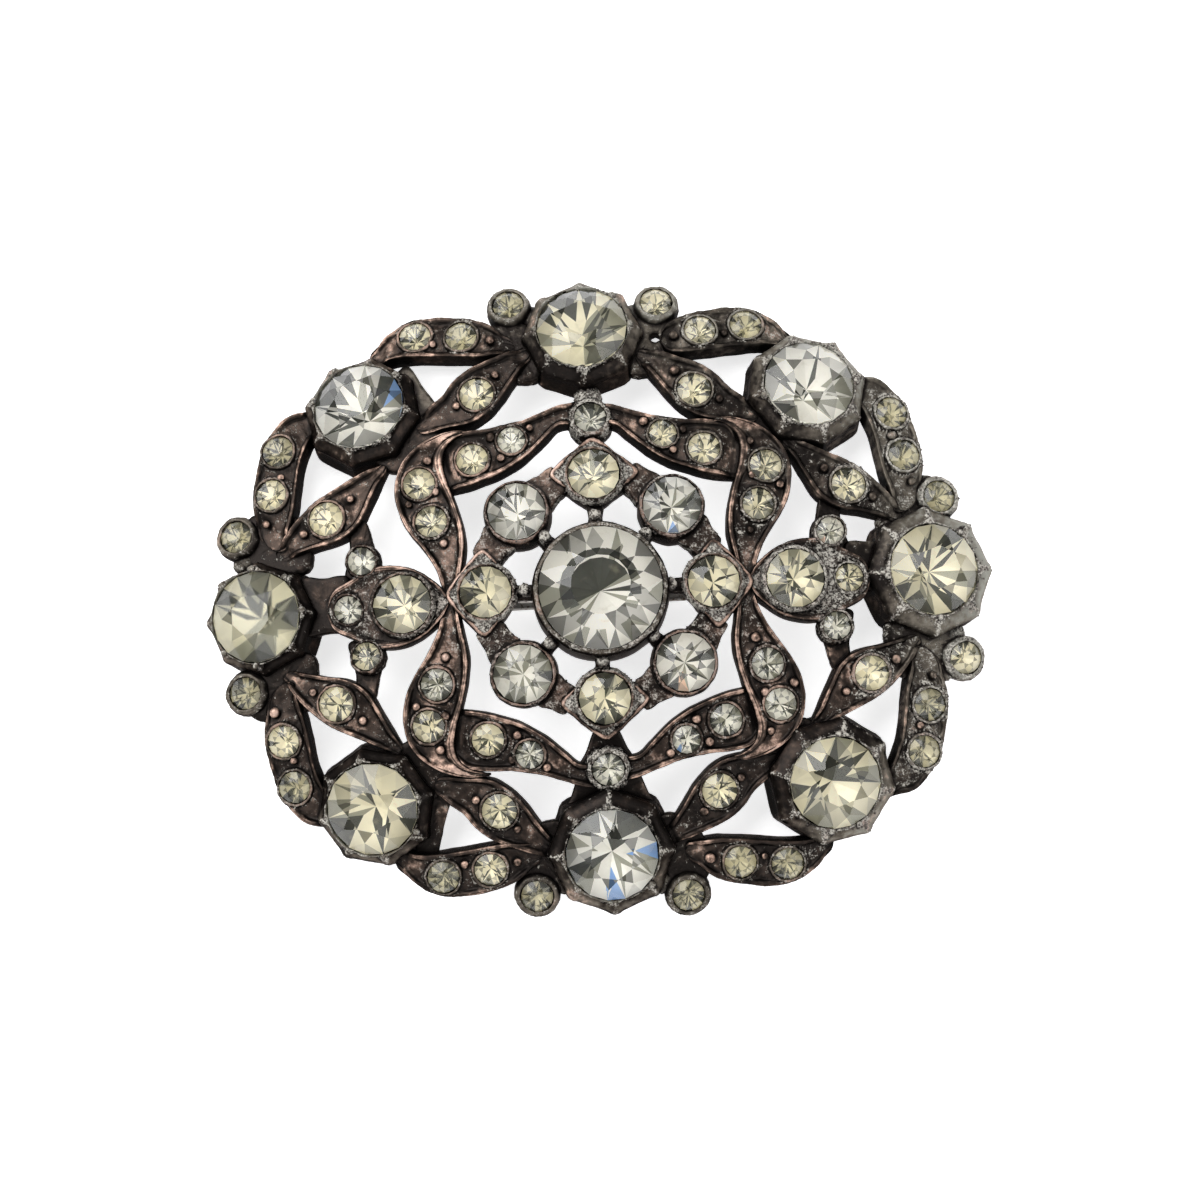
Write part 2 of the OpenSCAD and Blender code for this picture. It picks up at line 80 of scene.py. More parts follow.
# Each leaf: outer edge, inner edge, stones as x, y and radius, and its drift in the NE, SE, SW and NW quarter
QUARTERS = ((1, 1), (1, -1), (-1, -1), (-1, 1))
SCROLL_ALONG = (
    ((0.8, 14), (2.2, 13.6), (3.6, 13.1), (5.1, 12.6), (6.9, 12.3), (8.6, 12.2), (10.1, 11.9), (11, 10.9)),
    ((0.9, 12.2), (2.1, 12), (3, 11.2), (4.4, 9.95), (5.9, 9), (7.4, 8.4), (8.9, 7.95), (10.3, 7.75)),
    ((8.4, 9.95, 1.15), (5.5, 11.2, 1)),
    ((-0.15, 0), (0.15, 0.25), (0, -0.15), (-0.05, 0.15)),
)
SCROLL_ACROSS = (
    (
        (11.2, 0.6), (11.6, 2.2), (12.4, 3.7), (13.4, 5.1), (14.1, 6.6), (14.35, 8.3),
        (14, 9.9), (13, 11.2), (11.5, 12.1), (9.9, 12.5), (8.5, 12.5),
    ),
    (
        (10, 0.6), (9.7, 2.2), (9.45, 3.9), (9.55, 5.5), (10, 7.3), (10.5, 8.8),
        (10.75, 10.2), (10.5, 11.2), (9.9, 11.8), (9.2, 12.15), (8.5, 12.3),
    ),
    ((12.5, 8.7, 1.15), (11.75, 5.8, 1.15)),
    ((0.1, -0.2), (0, -0.1), (-0.05, -0.2), (0.15, -0.1)),
)
RIM_LEAF_ALONG = (
    ((5.8, 19.6), (7.2, 20.5), (8.9, 20.95), (10.6, 21.2), (12.2, 21.05), (13.8, 20.4), (15.3, 19.2)),
    ((5.5, 17.9), (7.4, 17.65), (9.3, 17.8), (11.3, 18), (12.8, 18.1), (14, 18), (15, 17.6)),
    ((8.8, 19.4, 1.15), (12.2, 19.7, 1.15)),
    ((-0.2, -0.2), (0.2, -0.2), (0, 0.3), (-0.05, 0.4)),
)
RIM_LEAF_ACROSS = (
    ((20.2, 15.5), (21.9, 15), (23, 13.8), (23.75, 12.35), (24.25, 10.7), (24.45, 8.8), (24.4, 6.9)),
    ((19.8, 13.6), (20.45, 12.4), (20.95, 11), (21.2, 9.4), (21.45, 7.8), (21.8, 6.6), (22.1, 5.4)),
    ((22.5, 12.4, 1.15), (23.1, 9.1, 1.15)),
    ((-0.35, -0.1), (0.2, -0.1), (0, 0), (-0.1, -0.3)),
)
INNER_LEAF_ALONG = (
    ((4.6, 18.4), (6.7, 17.6), (8.4, 16.9), (9.6, 16), (10.6, 14.8), (12.1, 13.7)),
    ((4.1, 17.2), (5.2, 15.7), (6.1, 14.4), (7.3, 13.2), (8.7, 12.5), (11.6, 12.2)),
    ((7.9, 14.8, 1.25),),
    ((-0.05, -0.3), (-0.1, 0.2), (0, -0.3), (0, 0.3)),
)
INNER_LEAF_ACROSS = (
    ((15.3, 10.6), (17.4, 9.55), (19.2, 8.65), (20.7, 7.55), (21.9, 6.3), (22.9, 4.9)),
    ((14.7, 10.1), (15.9, 7.7), (16.9, 6), (18.3, 5.1), (20.1, 4.7), (22, 4.2)),
    ((19.1, 6.8, 1.25),),
    ((-0.6, 0.05), (0.1, -0.05), (0, 0), (-0.1, -0.2)),
)
# Places of the bead grains on each kind of leaf, as shares along it and across it
SCROLL_ALONG_GRAINS = ((0.36, 0.3), (0.6, 0.2), (0.58, 0.7))
SCROLL_ACROSS_GRAINS = ((0.21, 0.48), (0.43, 0.21), (0.45, 0.74), (0.63, 0.68))
RIM_ALONG_GRAINS = ((0.12, 0.47), (0.47, 0.66))
RIM_ACROSS_GRAINS = ((0.52, 0.56), (0.92, 0.35))
INNER_GRAINS = ((0.29, 0.46), (0.76, 0.4))
# Webs of sheet in the NE quarter, and the hole through the one beside the north cup
WEB_NORTH = ((3.2, 16.6), (3.6, 19.8), (4.4, 20.9), (6.4, 21), (7, 19.2), (6.2, 17.2), (4.8, 16.2))
WEB_EAST = ((20.9, 3.1), (20.6, 5), (21.6, 7.2), (24.8, 7.6), (26.2, 6), (25.6, 4.2), (23, 3))
WEB_CORNER = (
    (10.6, 12), (11.6, 13.6), (13.6, 14), (15.8, 12), (15.3, 10.4), (13.6, 9.8), (12, 10.6),
)
WEB_HOLE = (5.35, 19.1)
WEB_HOLE_R = 0.4
# How many steps of the rim leaf beside the hole are left out at its start
HOLE_STEPS = 10
# The trefoils: middle, half their edge, side webs, and the ends and the south and north edges of their bars
TREFOIL_MIDDLE = 13.9
TREFOIL_EDGE = (
    (10.6, 0), (11.1, 1), (11.9, 1.8), (13.1, 2.6), (14.6, 3), (16.2, 2.9), (17.8, 2.1), (19, 1.4), (19.5, 0),
)
TREFOIL_WEB = (
    (15.6, 2.2), (15.8, 3.6), (16.1, 5), (16.6, 6.5), (17.7, 5.9), (17.8, 4.6), (18, 3.6), (18.1, 2.2),
)
TREFOIL_DRIFT = ((0.1, 0), (0.05, -0.2))
BAR_ENDS = (18, 21.5)
BAR_EDGES = ((-1.05, 2.9), (-1.8, 2.55))
# Solder along the inner walls of the north-west and south-west cups: its ends, half its width, how grey
SOLDER = (((-13.9, 17.7), (-11.7, 13.9), 1.1, 0.35), ((-12.2, -13.8), (-13.6, -18.3), 0.8, 0.05))
SOLDER_TOP = -0.3
# Necks of solder at the south link collet: y and half width at the narrow end, and at the wide end
NECKS = (((-9.9, 0.8), (-12.9, 2.2)), ((-12.8, 1.9), (-16.4, 3.7)))
NECK_TOP = -0.35
# The beads round the centre stone: how far out they sit, radius, top, and the ends of their bars
BEAD_CIRCLE = 5.1
BEAD_R = 0.4
BEAD_TOP = 1.7
BEAD_BAR = (4.5, 6.2)
# Webs from the round halo collets to the pointed ones: how far from the middle of each they start and aim
HALO_WEB_START = 1.9
HALO_WEB_AIM = 2.4
# The back's pin, as in the part's source
PIN_Z = 2.3
PIN_R = 0.45
SEAT_GAP = 0.05
# How far metal stays under the stones' points
STONE_GAP = 0.12


# Places on the dome, curves and rings

def smooth(low, high, value):
    """0 below low, 1 above high, and an even curve between."""
    share = np.clip((value - low) / (high - low), 0, 1)
    return share * share * (3 - 2 * share)


def hump(value, middle, width):
    """1 at the middle, falling evenly to nothing over a few widths."""
    return np.exp(-((value - middle) / width) ** 2)


def on_dome(p):
    """The frame that touches the dome over a point of the plan, and stands square to it."""
    fall = Vector([2 * DOME_DROP * p[k] / OVAL[k] ** 2 for k in range(2)])
    height = DOME_TOP - DOME_DROP * sum((p[k] / OVAL[k]) ** 2 for k in range(2))
    heading = math.atan2(fall.y, fall.x)
    turn = Matrix.Rotation(heading, 4, "Z")
    return (
        Matrix.Translation((p[0], p[1], height))
        @ turn @ Matrix.Rotation(math.atan(fall.length), 4, "Y") @ turn.inverted()
    )


def in_sheet(points, c):
    """Points of the plan as points of the flat sheet that touches the dome over c."""
    fall = Vector([2 * DOME_DROP * c[k] / OVAL[k] ** 2 for k in range(2)])
    if fall.length < 1e-9:
        return np.asarray(points, float) - c
    way = np.array(fall.normalized())
    side = np.array((-way[1], way[0]))
    steep = math.cos(math.atan(fall.length))
    d = np.asarray(points, float) - np.asarray(c)
    return np.outer(d @ way / steep, way) + np.outer(d @ side, side)


def upright(centre, axis, x_way):
    """The frame at a centre with the given axis as its Z, and its X as near x_way as that allows."""
    z = Vector(axis).normalized()
    x = Vector(x_way)
    x = (x - z * x.dot(z)).normalized()
    turn = Matrix((x, z.cross(x), z)).transposed().to_4x4()
    return Matrix.Translation(Vector(centre)) @ turn


def along(points, shares):
    """A smooth curve through a list of points, at shares of its length."""
    p = np.array(points, float)
    last = len(p) - 1
    shares = np.atleast_1d(shares)
    k = np.minimum((shares * last).astype(int), last - 1)
    u = (shares * last - k)[:, None]
    a, b, c, d = p[np.maximum(k - 1, 0)], p[k], p[k + 1], p[np.minimum(k + 2, last)]
    return 0.5 * (2 * b + u * (c - a) + u**2 * (2 * a - 5 * b + 4 * c - d) + u**3 * (3 * b - a - 3 * c + d))


def closed_curve(points, count):
    """Evenly shared points of a smooth closed curve through the given corners."""
    p = list(points)
    loop = [p[-1]] + p + p[:2]
    spans = len(loop) - 1
    shares = (1 + np.arange(count) / count * len(p)) / spans
    return along(loop, shares)


def ring_of(radius, turns, height):
    """Points round an axis at the given turns. Their radius and height may vary round it."""
    return np.stack([radius * np.cos(turns), radius * np.sin(turns), np.broadcast_to(height, turns.shape)], 1)


def weather(x, y):
    """How coppery, crusted and grey the metal is at a place of the plan, each from 0 to 1."""
    reach = math.hypot(x / OVAL[0], y / OVAL[1])
    north_east = smooth(0.1, 0.8, 0.75 * x / OVAL[0] + 0.55 * y / OVAL[1])
    east_trefoil = hump(math.hypot(x - 16, y), 0, 4.5)
    link = hump(math.hypot(x, abs(y) - 13.2), 0, 2.2)
    halo = hump(reach, 0.36, 0.16)
    copper = 1 - 0.45 * north_east - 0.2 * smooth(7, 14, -y)
    east_rim = smooth(0.8, 0.95, reach) * smooth(12, 18, x)
    crust = min(1, 0.7 + 0.4 * halo + 0.3 * east_trefoil + 0.4 * link + 0.6 * east_rim)
    grey = 0.25 * north_east + 0.12 * smooth(0.85, 1.05, reach) + 0.18 * east_rim
    return copper, crust, grey


# Stones read from the frame

def cut_stones(node):
    """The middle of the girdle, the axis and the radius in millimetres of each stone in a CAD node."""
    work = bmesh.new()
    work.from_mesh(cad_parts[node].data)
    bmesh.ops.remove_doubles(work, verts=work.verts, dist=1e-6)
    left, found = set(work.verts), []
    while left:
        group, todo = [], [min(left, key=lambda v: v.index)]
        left.discard(todo[0])
        while todo:
            v = todo.pop()
            group.append(v)
            for e in v.link_edges:
                w = e.other_vert(v)
                if w in left:
                    left.discard(w)
                    todo.append(w)
        points = np.array([v.co for v in group]) / MM
        middle = points.mean(0)
        axis = np.linalg.eigh(np.cov((points - middle).T))[1][:, 0]
        axis *= np.sign(axis[2])
        height = (points - middle) @ axis
        r = np.linalg.norm(points - middle - np.outer(height, axis), axis=1).max()
        found.append((middle + axis * (height.min() + PAVILION * r), axis, r))
    work.free()
    return sorted(found, key=lambda s: round(math.atan2(s[0][1], s[0][0]), 3))


STONE_NODES = [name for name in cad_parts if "stone" in name]
ALL_STONES = [stone for name in STONE_NODES for stone in cut_stones(name)]


def clear_of_stones(points):
    """Points of metal, pushed down under any stone that they would show through."""
    points = points.copy()
    for centre, axis, r in ALL_STONES:
        off = points - centre
        height = off @ axis
        reach = np.linalg.norm(off - np.outer(height, axis), axis=1)
        limit = -PAVILION * (r - reach) - STONE_GAP
        drop = np.where((reach < r + 0.01) & (height > limit) & (height < 1), height - limit, 0)
        points -= np.outer(drop, axis)
    return points


# Closed shells of metal

class Metal:
    """The points and faces of one piece, and its finish: how coppery, crusted and grey each point is."""

    def __init__(self):
        self.points, self.faces, self.finish = [], [], []
        self.count = 0

    def shell(self, place, rings, finish, looped=False):
        """Adds a shell of rings joined side by side. Its ends are closed, or meet if it is looped."""
        rings = np.asarray(rings, float)
        many, size = rings.shape[:2]
        finish = np.broadcast_to(np.asarray(finish, float), (many, size, 3))
        points = rings.reshape(-1, 3)
        marks = finish.reshape(-1, 3)
        i = np.arange(size)
        j = (i + 1) % size
        for k in range(many if looped else many - 1):
            a, b = k * size, (k + 1) % many * size
            self.faces += (np.stack([a + i, a + j, b + j, b + i], 1) + self.count).tolist()
        if not looped:
            for end, ring in ((0, 0), (1, many - 1)):
                points = np.vstack([points, rings[ring].mean(0)])
                marks = np.vstack([marks, finish[ring].mean(0)])
                tip = np.full(size, many * size + end)
                fan = [tip, ring * size + (i if end else j), ring * size + (j if end else i)]
                self.faces += (np.stack(fan, 1) + self.count).tolist()
        turn = np.array(place)
        points = points @ turn[:3, :3].T + turn[:3, 3]
        self.points.append(points)
        self.finish.append(marks)
        self.count += len(points)

    def weathered(self):
        """All points, and their finish after the weather of their places."""
        points = np.vstack(self.points)
        spread = np.array([weather(x, y) for x, y, _ in points])
        finish = np.vstack(self.finish)
        finish = finish * np.c_[spread[:, :2], np.ones(len(points))]
        finish[:, 2] += spread[:, 2]
        return points, np.clip(finish, 0, 1)


# How deep the surface of old metal runs: its broad waves, its grain, and what crust adds to the grain
BROAD_DEPTH = 0.05
GRAIN_DEPTH = 0.012
CRUST_DEPTH = 0.08


def roughened(points, normals, finish):
    """Moves points in and out by the uneven surface of old metal, more where it is crusted."""
    moved = points.copy()
    for k, (p, n) in enumerate(zip(points, normals)):
        spot = Vector(p)
        broad = noise.noise(spot * 0.8)
        fine = noise.noise(spot * 4) + 0.5 * noise.noise(spot * 8)
        caked = finish[k, 1] * (1 - 0.7 * finish[k, 0])
        moved[k] += n * (BROAD_DEPTH * broad + (GRAIN_DEPTH + CRUST_DEPTH * caked) * fine)
    moved[:, 2] = np.maximum(moved[:, 2], 0)
    return moved


def mesh_of(name, points, faces, finish=None):
    """A closed, outward-facing, smooth mesh from points in millimetres."""
    mesh = bpy.data.meshes.new(name)
    mesh.from_pydata((np.asarray(points) * MM).tolist(), [], faces)
    if finish is not None:
        layer = mesh.attributes.new("finish", "FLOAT_COLOR", "POINT")
        layer.data.foreach_set("color", np.c_[finish, np.ones(len(finish))].ravel().astype(np.float32))
    work = bmesh.new()
    work.from_mesh(mesh)
    bmesh.ops.remove_doubles(work, verts=work.verts, dist=1e-7)
    bmesh.ops.recalc_face_normals(work, faces=work.faces)
    work.to_mesh(mesh)
    work.free()
    mesh.polygons.foreach_set("use_smooth", [True] * len(mesh.polygons))
    return mesh


def shown(name, mesh, nodes, materials):
    """Puts a mesh in the scene as a piece that stands for CAD nodes."""
    piece = bpy.data.objects.new(name, mesh)
    bpy.context.scene.collection.objects.link(piece)
    for material in materials:
        mesh.materials.append(material)
    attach(piece, "root")
    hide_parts(*nodes)
    return piece


def metal_piece(name, metal, material):
    """A roughened piece of the setting."""
    points, finish = metal.weathered()
    mesh = mesh_of(name, points, metal.faces, finish)
    count = len(mesh.vertices)
    co = np.zeros(count * 3)
    mesh.vertices.foreach_get("co", co)
    normals = np.array([v.normal for v in mesh.vertices])
    marks = np.zeros(count * 4, np.float32)
    mesh.attributes["finish"].data.foreach_get("color", marks)
    marks = marks.reshape(-1, 4)
    co = clear_of_stones(roughened(co.reshape(-1, 3) / MM, normals, marks)) * MM
    mesh.vertices.foreach_set("co", co.ravel())
    # Walls keep less of the copper and the grey than what faces up, where hands rub; this also paints shade
    # on the walls
    facing = smooth(-0.1, 0.6, normals[:, 2])
    marks[:, 0] *= facing
    marks[:, 2] *= 0.4 + 0.6 * facing
    mesh.attributes["finish"].data.foreach_set("color", marks.ravel())
    mesh.update()
    return shown(name, mesh, ["setting"], [material])


# How far the painted shade of hollows, with their tarnish, looks from a point for metal close over it, and in
# how many directions
SHADE_REACH = 1.6 * MM
SHADE_LIFT = 0.03 * MM
SHADE_RAYS = 10


def soot_directions():
    """Directions over a half-sphere about Z, closer together toward its top."""
    shares = (np.arange(SHADE_RAYS) + 0.5) / SHADE_RAYS
    turn = np.arange(SHADE_RAYS) * math.pi * (3 - math.sqrt(5))
    return [Vector(way) for way in ring_of(np.sqrt(shares), turn, np.sqrt(1 - shares))]


def gather_soot(pieces):
    """Sets the fourth part of the finish, its alpha, by how closely metal stands over each point: the painted
    shade of hollows, with their tarnish.
    """
    work = bmesh.new()
    for piece in pieces:
        work.from_mesh(piece.data)
    tree = BVHTree.FromBMesh(work)
    work.free()
    directions = soot_directions()
    for piece in pieces:
        mesh = piece.data
        marks = np.zeros(len(mesh.vertices) * 4, np.float32)
        mesh.attributes["finish"].data.foreach_get("color", marks)
        for k, v in enumerate(mesh.vertices):
            side = v.normal.orthogonal().normalized()
            turn = Matrix((side, v.normal.cross(side), v.normal)).transposed()
            start = v.co + v.normal * SHADE_LIFT
            near = 0.0
            for way in directions:
                distance = tree.ray_cast(start, turn @ way, SHADE_REACH)[3]
                if distance is not None:
                    near += 1 - distance / SHADE_REACH
            marks[4 * k + 3] = near / SHADE_RAYS
        mesh.attributes["finish"].data.foreach_set("color", marks)


# Collets

ROUND = 72
TURN = np.arange(ROUND) / ROUND * 2 * math.pi


def wavering(angles, seed, reach):
    """A small even-running waver round a ring, for metal bent by hand."""
    draw = random.Random(seed)
    total = np.zeros(len(angles))
    for turns in (2, 3, 5, 9, 14):
        total += draw.uniform(-1, 1) / math.sqrt(turns) * np.sin(turns * angles + draw.uniform(0, 6.28))
    return reach * total


def lathe(metal, place, profile, seed, waver):
    """Turns a profile of radius, height and finish into a shell, out of true by the waver."""
    wave = wavering(TURN, seed, waver)
    ripple = wavering(TURN, seed + "lip", waver)
    rings, marks = [], []
    for r, z, finish in profile:
        pull = min(1, r)
        rings.append(ring_of(r + wave * pull, TURN, z + ripple * pull * 0.8))
        marks.append([finish] * ROUND)
    metal.shell(place, rings, marks)


def seat(r):
    """The inside of a collet below its lip, as a profile: down past the girdle, then in under the stone."""
    dark = (0, 0.1, 0)
    deep = PAVILION * r
    return [
        (r + 0.04, -0.03, dark), (r * 0.6, -deep * 0.4 - 0.14, dark), (r * 0.2, -deep * 0.8 - 0.17, dark),
        (0.03, -deep - 0.2, dark),
    ]


def round_collet(metal, place, r, wall, below, lip, seed, rim=(0.75, 0.7, 0.2), side=(0.25, 0.3, 0.1)):
    """A round collet about a stone: place is at its girdle, below is how deep its wall goes."""
    dark = (0.05, 0.1, 0)
    lip_out = r + wall
    profile = [
        (lip_out - 0.35, -below, dark), (lip_out - 0.02, -below + 0.08, dark),
        (lip_out + 0.02, -below * 0.7, dark), (lip_out + 0.03, -below * 0.4 - 0.2, side),
        (lip_out, -0.55, side), (lip_out - 0.02, lip - 0.45, side),
        (r + 0.85 * wall, lip - 0.26, side), (r + 0.66 * wall, lip - 0.1, rim),
        (r + 0.48 * wall, lip - 0.01, rim), (r + 0.32 * wall, lip + 0.02, rim), (r + 0.06, lip, rim),
        (r + 0.03, lip - 0.05, (0.3, 0.5, 0)), (r + 0.035, lip - 0.12, dark),
    ]
    lathe(metal, place, profile + seat(r), seed, waver=0.045)


def domed_post(metal, place, r, below, top, seed, finish):
    """A lump of solder: a short post with a rounded top."""
    profile = [(r * 0.9, -below, finish), (r, -below + 0.1, finish), (r, top - 0.7 * r, finish)]
    for k in range(1, 7):
        bend = k / 6.5 * math.pi / 2
        profile.append((r * math.cos(bend), top - 0.7 * r * (1 - math.sin(bend)), finish))
    lathe(metal, place, profile, seed, waver=0.06)


# A rim cup's corners are where the share round each of its eight sides is 0
SIDE_SHARES = np.array([
    0, 0.025, 0.06, 0.1, 0.16, 0.24, 0.34, 0.42, 0.5, 0.58, 0.66, 0.76, 0.84, 0.9, 0.94, 0.975,
])
CUP_SHARES = np.tile(SIDE_SHARES, 8)
CUP_TURN = (np.repeat(np.arange(8), len(SIDE_SHARES)) + CUP_SHARES) * math.pi / 4
# From and to: the radius of a claw, and how high over the girdle it sits
CLAW_SIZE = (0.16, 0.3)
CLAW_HEIGHT = (0.06, 0.2)


def eight_sided(corner_r, sharp, scoop, ridge):
    """Radius round an eight-sided ring with scooped sides and raised corners, or a circle if sharp is 0."""
    from_middle = (CUP_SHARES - 0.5) * math.pi / 4
    side = corner_r * math.cos(math.pi / 8) / np.cos(from_middle)
    side = np.minimum(side, corner_r * (0.972 - 0.01 * (1 - np.abs(from_middle) * 8 / math.pi)))
    inner = corner_r * math.cos(math.pi / 8)
    corner = np.minimum(CUP_SHARES, 1 - CUP_SHARES)
    hollow = scoop * smooth(0.03, 0.2, corner)
    return inner + (side - inner) * sharp - hollow + ridge * hump(corner, 0, 0.035)


def rim_cup(metal, stone, wider, seed):
    """A cup with eight scooped sides under a torn lip. Its lowest corner stands on the floor."""
    centre, axis, r = stone
    out = Vector((axis[0], axis[1], 0)).normalized()
    place = upright(centre, axis, out)
    lean = math.acos(axis[2])
    foot_r = FOOT_R + wider
    foot = (foot_r * math.sin(lean) - centre[2]) / math.cos(lean)
    shoulder_r = SHOULDER_R + wider
    # Outward faces are painted grey and coppery, more so higher up, as a painted reflection of the bright
    # ground, and those toward the middle of the brooch are black, as painted shade
    outward = 0.5 + 0.5 * np.cos(CUP_TURN)
    corner = np.minimum(CUP_SHARES, 1 - CUP_SHARES)
    on_ridge = hump(corner, 0, 0.06)
    tear = wavering(CUP_TURN, seed + "tear", 0.09) + wavering(CUP_TURN * 3, seed + "tear2", 0.045)
    # Each ring: corner radius, height, sharpness, scoop, ridge, crust, torn share
    levels = [
        (foot_r - 0.6, foot, 1, 0, 0, 0, 0), (foot_r - 0.06, foot + 0.02, 1, 0, 0, 0, 0),
        (foot_r, foot + 0.2, 1, 0.04, 0.03, 0, 0),
    ]
    for k in range(1, 7):
        share = k / 7
        reach = foot_r + (shoulder_r - foot_r) * share
        height = foot + 0.2 + (-0.6 - foot - 0.2) * share
        levels.append((reach, height, 1, 0.16 * math.sin(share * 3.1), 0.05, 0.1, 0))
    levels += [
        (shoulder_r, -0.62, 1, 0.14, 0.03, 0.5, 0), (shoulder_r - 0.1, -0.42, 1, 0.24, 0.04, 0.2, 0),
        (shoulder_r - 0.26, -0.2, 1, 0.3, 0.05, 0.2, 0.15),
        (LIP_CORNER_R + 0.14, 0.0, 0.95, 0.22, 0.02, 0.7, 0.3),
        (LIP_CORNER_R + 0.02, 0.13, 0.9, 0.08, 0, 0.9, 0.7), (LIP_CORNER_R - 0.08, 0.2, 0.75, 0, 0, 0.95, 1),
    ]
    rings, marks = [], []
    for reach, z, sharp, scoop, ridge, crust, torn in levels:
        radius = eight_sided(reach, sharp, scoop, ridge) + torn * tear * 0.8
        rings.append(ring_of(radius, CUP_TURN, z + torn * tear * 0.9))
        caked = np.clip(crust + 0.7 * on_ridge * smooth(-0.9, -0.3, z), 0, 1)
        # Painted reflection on the outward faces, fading to painted shade toward the foot
        lit = outward**2 * smooth(foot, -0.3, z)
        marks.append(np.stack([0.3 * on_ridge + 0.5 * lit, caked, 0.4 * lit], 1))
    for radius, z, crust in ((r + 0.13, 0.24, 1), (r + 0.06, 0.2, 0.8), (r + 0.035, 0.08, 0.2)):
        edge = radius + np.maximum(tear, -0.02) * 0.5 * (crust > 0.5)
        rings.append(ring_of(edge, CUP_TURN, z + tear * crust * 0.6))
        # Painted reflection: the lip is greyer on its outward side
        marks.append(np.stack([0 * outward, crust + 0 * outward, 0.15 + 0.5 * outward], 1))
    for radius, z, finish in seat(r):
        rings.append(ring_of(radius, CUP_TURN, z))
        marks.append([finish] * len(CUP_TURN))
    metal.shell(place, rings, marks)
    draw = random.Random(seed + "claws")
    for k in range(8):
        turn = (k + draw.uniform(-0.12, 0.12)) * math.pi / 4
        size = draw.uniform(*CLAW_SIZE)
        reach = r + size * 0.8
        spot = place @ Vector((reach * math.cos(turn), reach * math.sin(turn), draw.uniform(*CLAW_HEIGHT)))
        grain(metal, spot, size, (0.2, 1, 0.5))


def pointed_outline(count):
    """A pointed collet's edge: four sides that draw in a little between softened corners."""
    corners = np.array(POINTED, float)
    share = np.arange(count // 4)[:, None] / (count // 4)
    sides = []
    for k in range(4):
        side = corners[k] + (corners[(k + 1) % 4] - corners[k]) * share
        sides.append(side * (1 + 0.02 * np.sin(math.pi * share)))
    edge = np.concatenate(sides)
    for _ in range(12):
        edge = 0.25 * np.roll(edge, 1, 0) + 0.5 * edge + 0.25 * np.roll(edge, -1, 0)
    return edge


def pointed_collet(metal, stone, seed):
    """A collet drawn out to four points, with a raised edge and a crusted slope up to the stone."""
    centre, axis, r = stone
    away = Vector((centre[0], centre[1], 0)).normalized()
    place = upright(centre, axis, away)
    edge = pointed_outline(96)
    angle = np.arctan2(edge[:, 1], edge[:, 0])
    ring = np.stack([np.cos(angle), np.sin(angle)], 1)
    reach = np.linalg.norm(edge, axis=1)
    wave = wavering(angle, seed, 0.035)
    low = -HALO_LIFT
    # Each step: how far in from the edge, or out from the stone, its height, and its finish
    rings, marks = [], []

    def add(radius, z, finish):
        rings.append(np.c_[ring * (radius + wave)[:, None], np.broadcast_to(z, len(angle)) + wave * 0.5])
        marks.append([finish] * len(angle))

    dark, rim, slope = (0.1, 0.1, 0), (1, 0.45, 0.1), (0.2, 0.95, 0.2)
    add(reach - 0.4, low - COLLET_BELOW, dark)
    add(reach - 0.04, low - COLLET_BELOW + 0.1, dark)
    add(reach, low - 0.5, dark)
    add(reach - 0.02, low + 0.2, (0.4, 0.3, 0))
    add(reach - 0.05, low + POINT_TOP - 0.16, rim)
    add(reach - 0.14, low + POINT_TOP, rim)
    add(reach - 0.3, low + POINT_TOP + 0.02, rim)
    inner = np.maximum(reach - 0.42, r + 0.42)
    for k in range(7):
        share = k / 6
        add(inner * (1 - share) + (r + 0.34) * share, low + POINT_TOP - 0.08 + 0.14 * share**2, slope)
    add(np.full(len(angle), r + 0.26), 0.1, (0.3, 0.8, 0.2))
    add(np.full(len(angle), r + 0.16), LIP + 0.02, (0.6, 0.7, 0.3))
    add(np.full(len(angle), r + 0.07), LIP, (0.6, 0.6, 0.2))
    add(np.full(len(angle), r + 0.035), LIP - 0.1, (0, 0.3, 0))
    for radius, z, finish in seat(r):
        add(np.full(len(angle), radius), z, finish)
    metal.shell(place, rings, marks)


# Leaves

LEAF_STEPS = 72
FLOOR_STEPS = 9
# A leaf starts and ends where it is this wide, its rims drop there, and its trough runs between two shares
NARROWEST = 0.12
END_DROP = 0.6
TROUGH_SPAN = (0.04, 0.96)


def leaf_section(wide, rims, floor, top):
    """A leaf's section over its top and back below: distance across, height, copper and crust."""
    fit = min(1, wide / (sum(rims) + 0.9))
    edge = []
    for rim in rims:
        rim = rim * fit
        edge.append([
            (0.12 * fit, -SHEET_BELOW, 0, 0), (0, -SHEET_BELOW + 0.14, 0, 0), (0, -0.4, 0.05, 0.05),
            (0, 0, 0.1, 0.1), (0.01, top - 0.2, 0.2, 0.1), (0.04 * fit, top - 0.08, 0.5, 0.15),
            (rim * 0.2, top - 0.02, 0.9, 0.2), (rim * 0.38, top, 1, 0.2), (rim * 0.52, top - 0.04, 0.45, 0.2),
            (rim * 0.68, top - 0.015, 0.85, 0.25), (rim * 0.84, top - 0.06, 0.4, 0.3),
            (rim, top - 0.1, 0.4, 0.3), (rim + 0.05 * fit, floor * 0.6 + top * 0.4, 0.1, 0.4),
            (rim + 0.12 * fit, floor + 0.04, 0, 0.5), (rim + 0.26 * fit, floor, 0.3, 0.6),
        ])
    outer = edge[0]
    inner = [(wide - s, *rest) for s, *rest in reversed(edge[1])]
    start, end = outer[-1][0], inner[0][0]
    middle = [(start + (end - start) * k / FLOOR_STEPS, floor, 0.5, 0.62) for k in range(1, FLOOR_STEPS)]
    under = [(wide * 0.66, -SHEET_BELOW, 0, 0), (wide * 0.33, -SHEET_BELOW, 0, 0)]
    return np.array(outer + middle + inner + under)


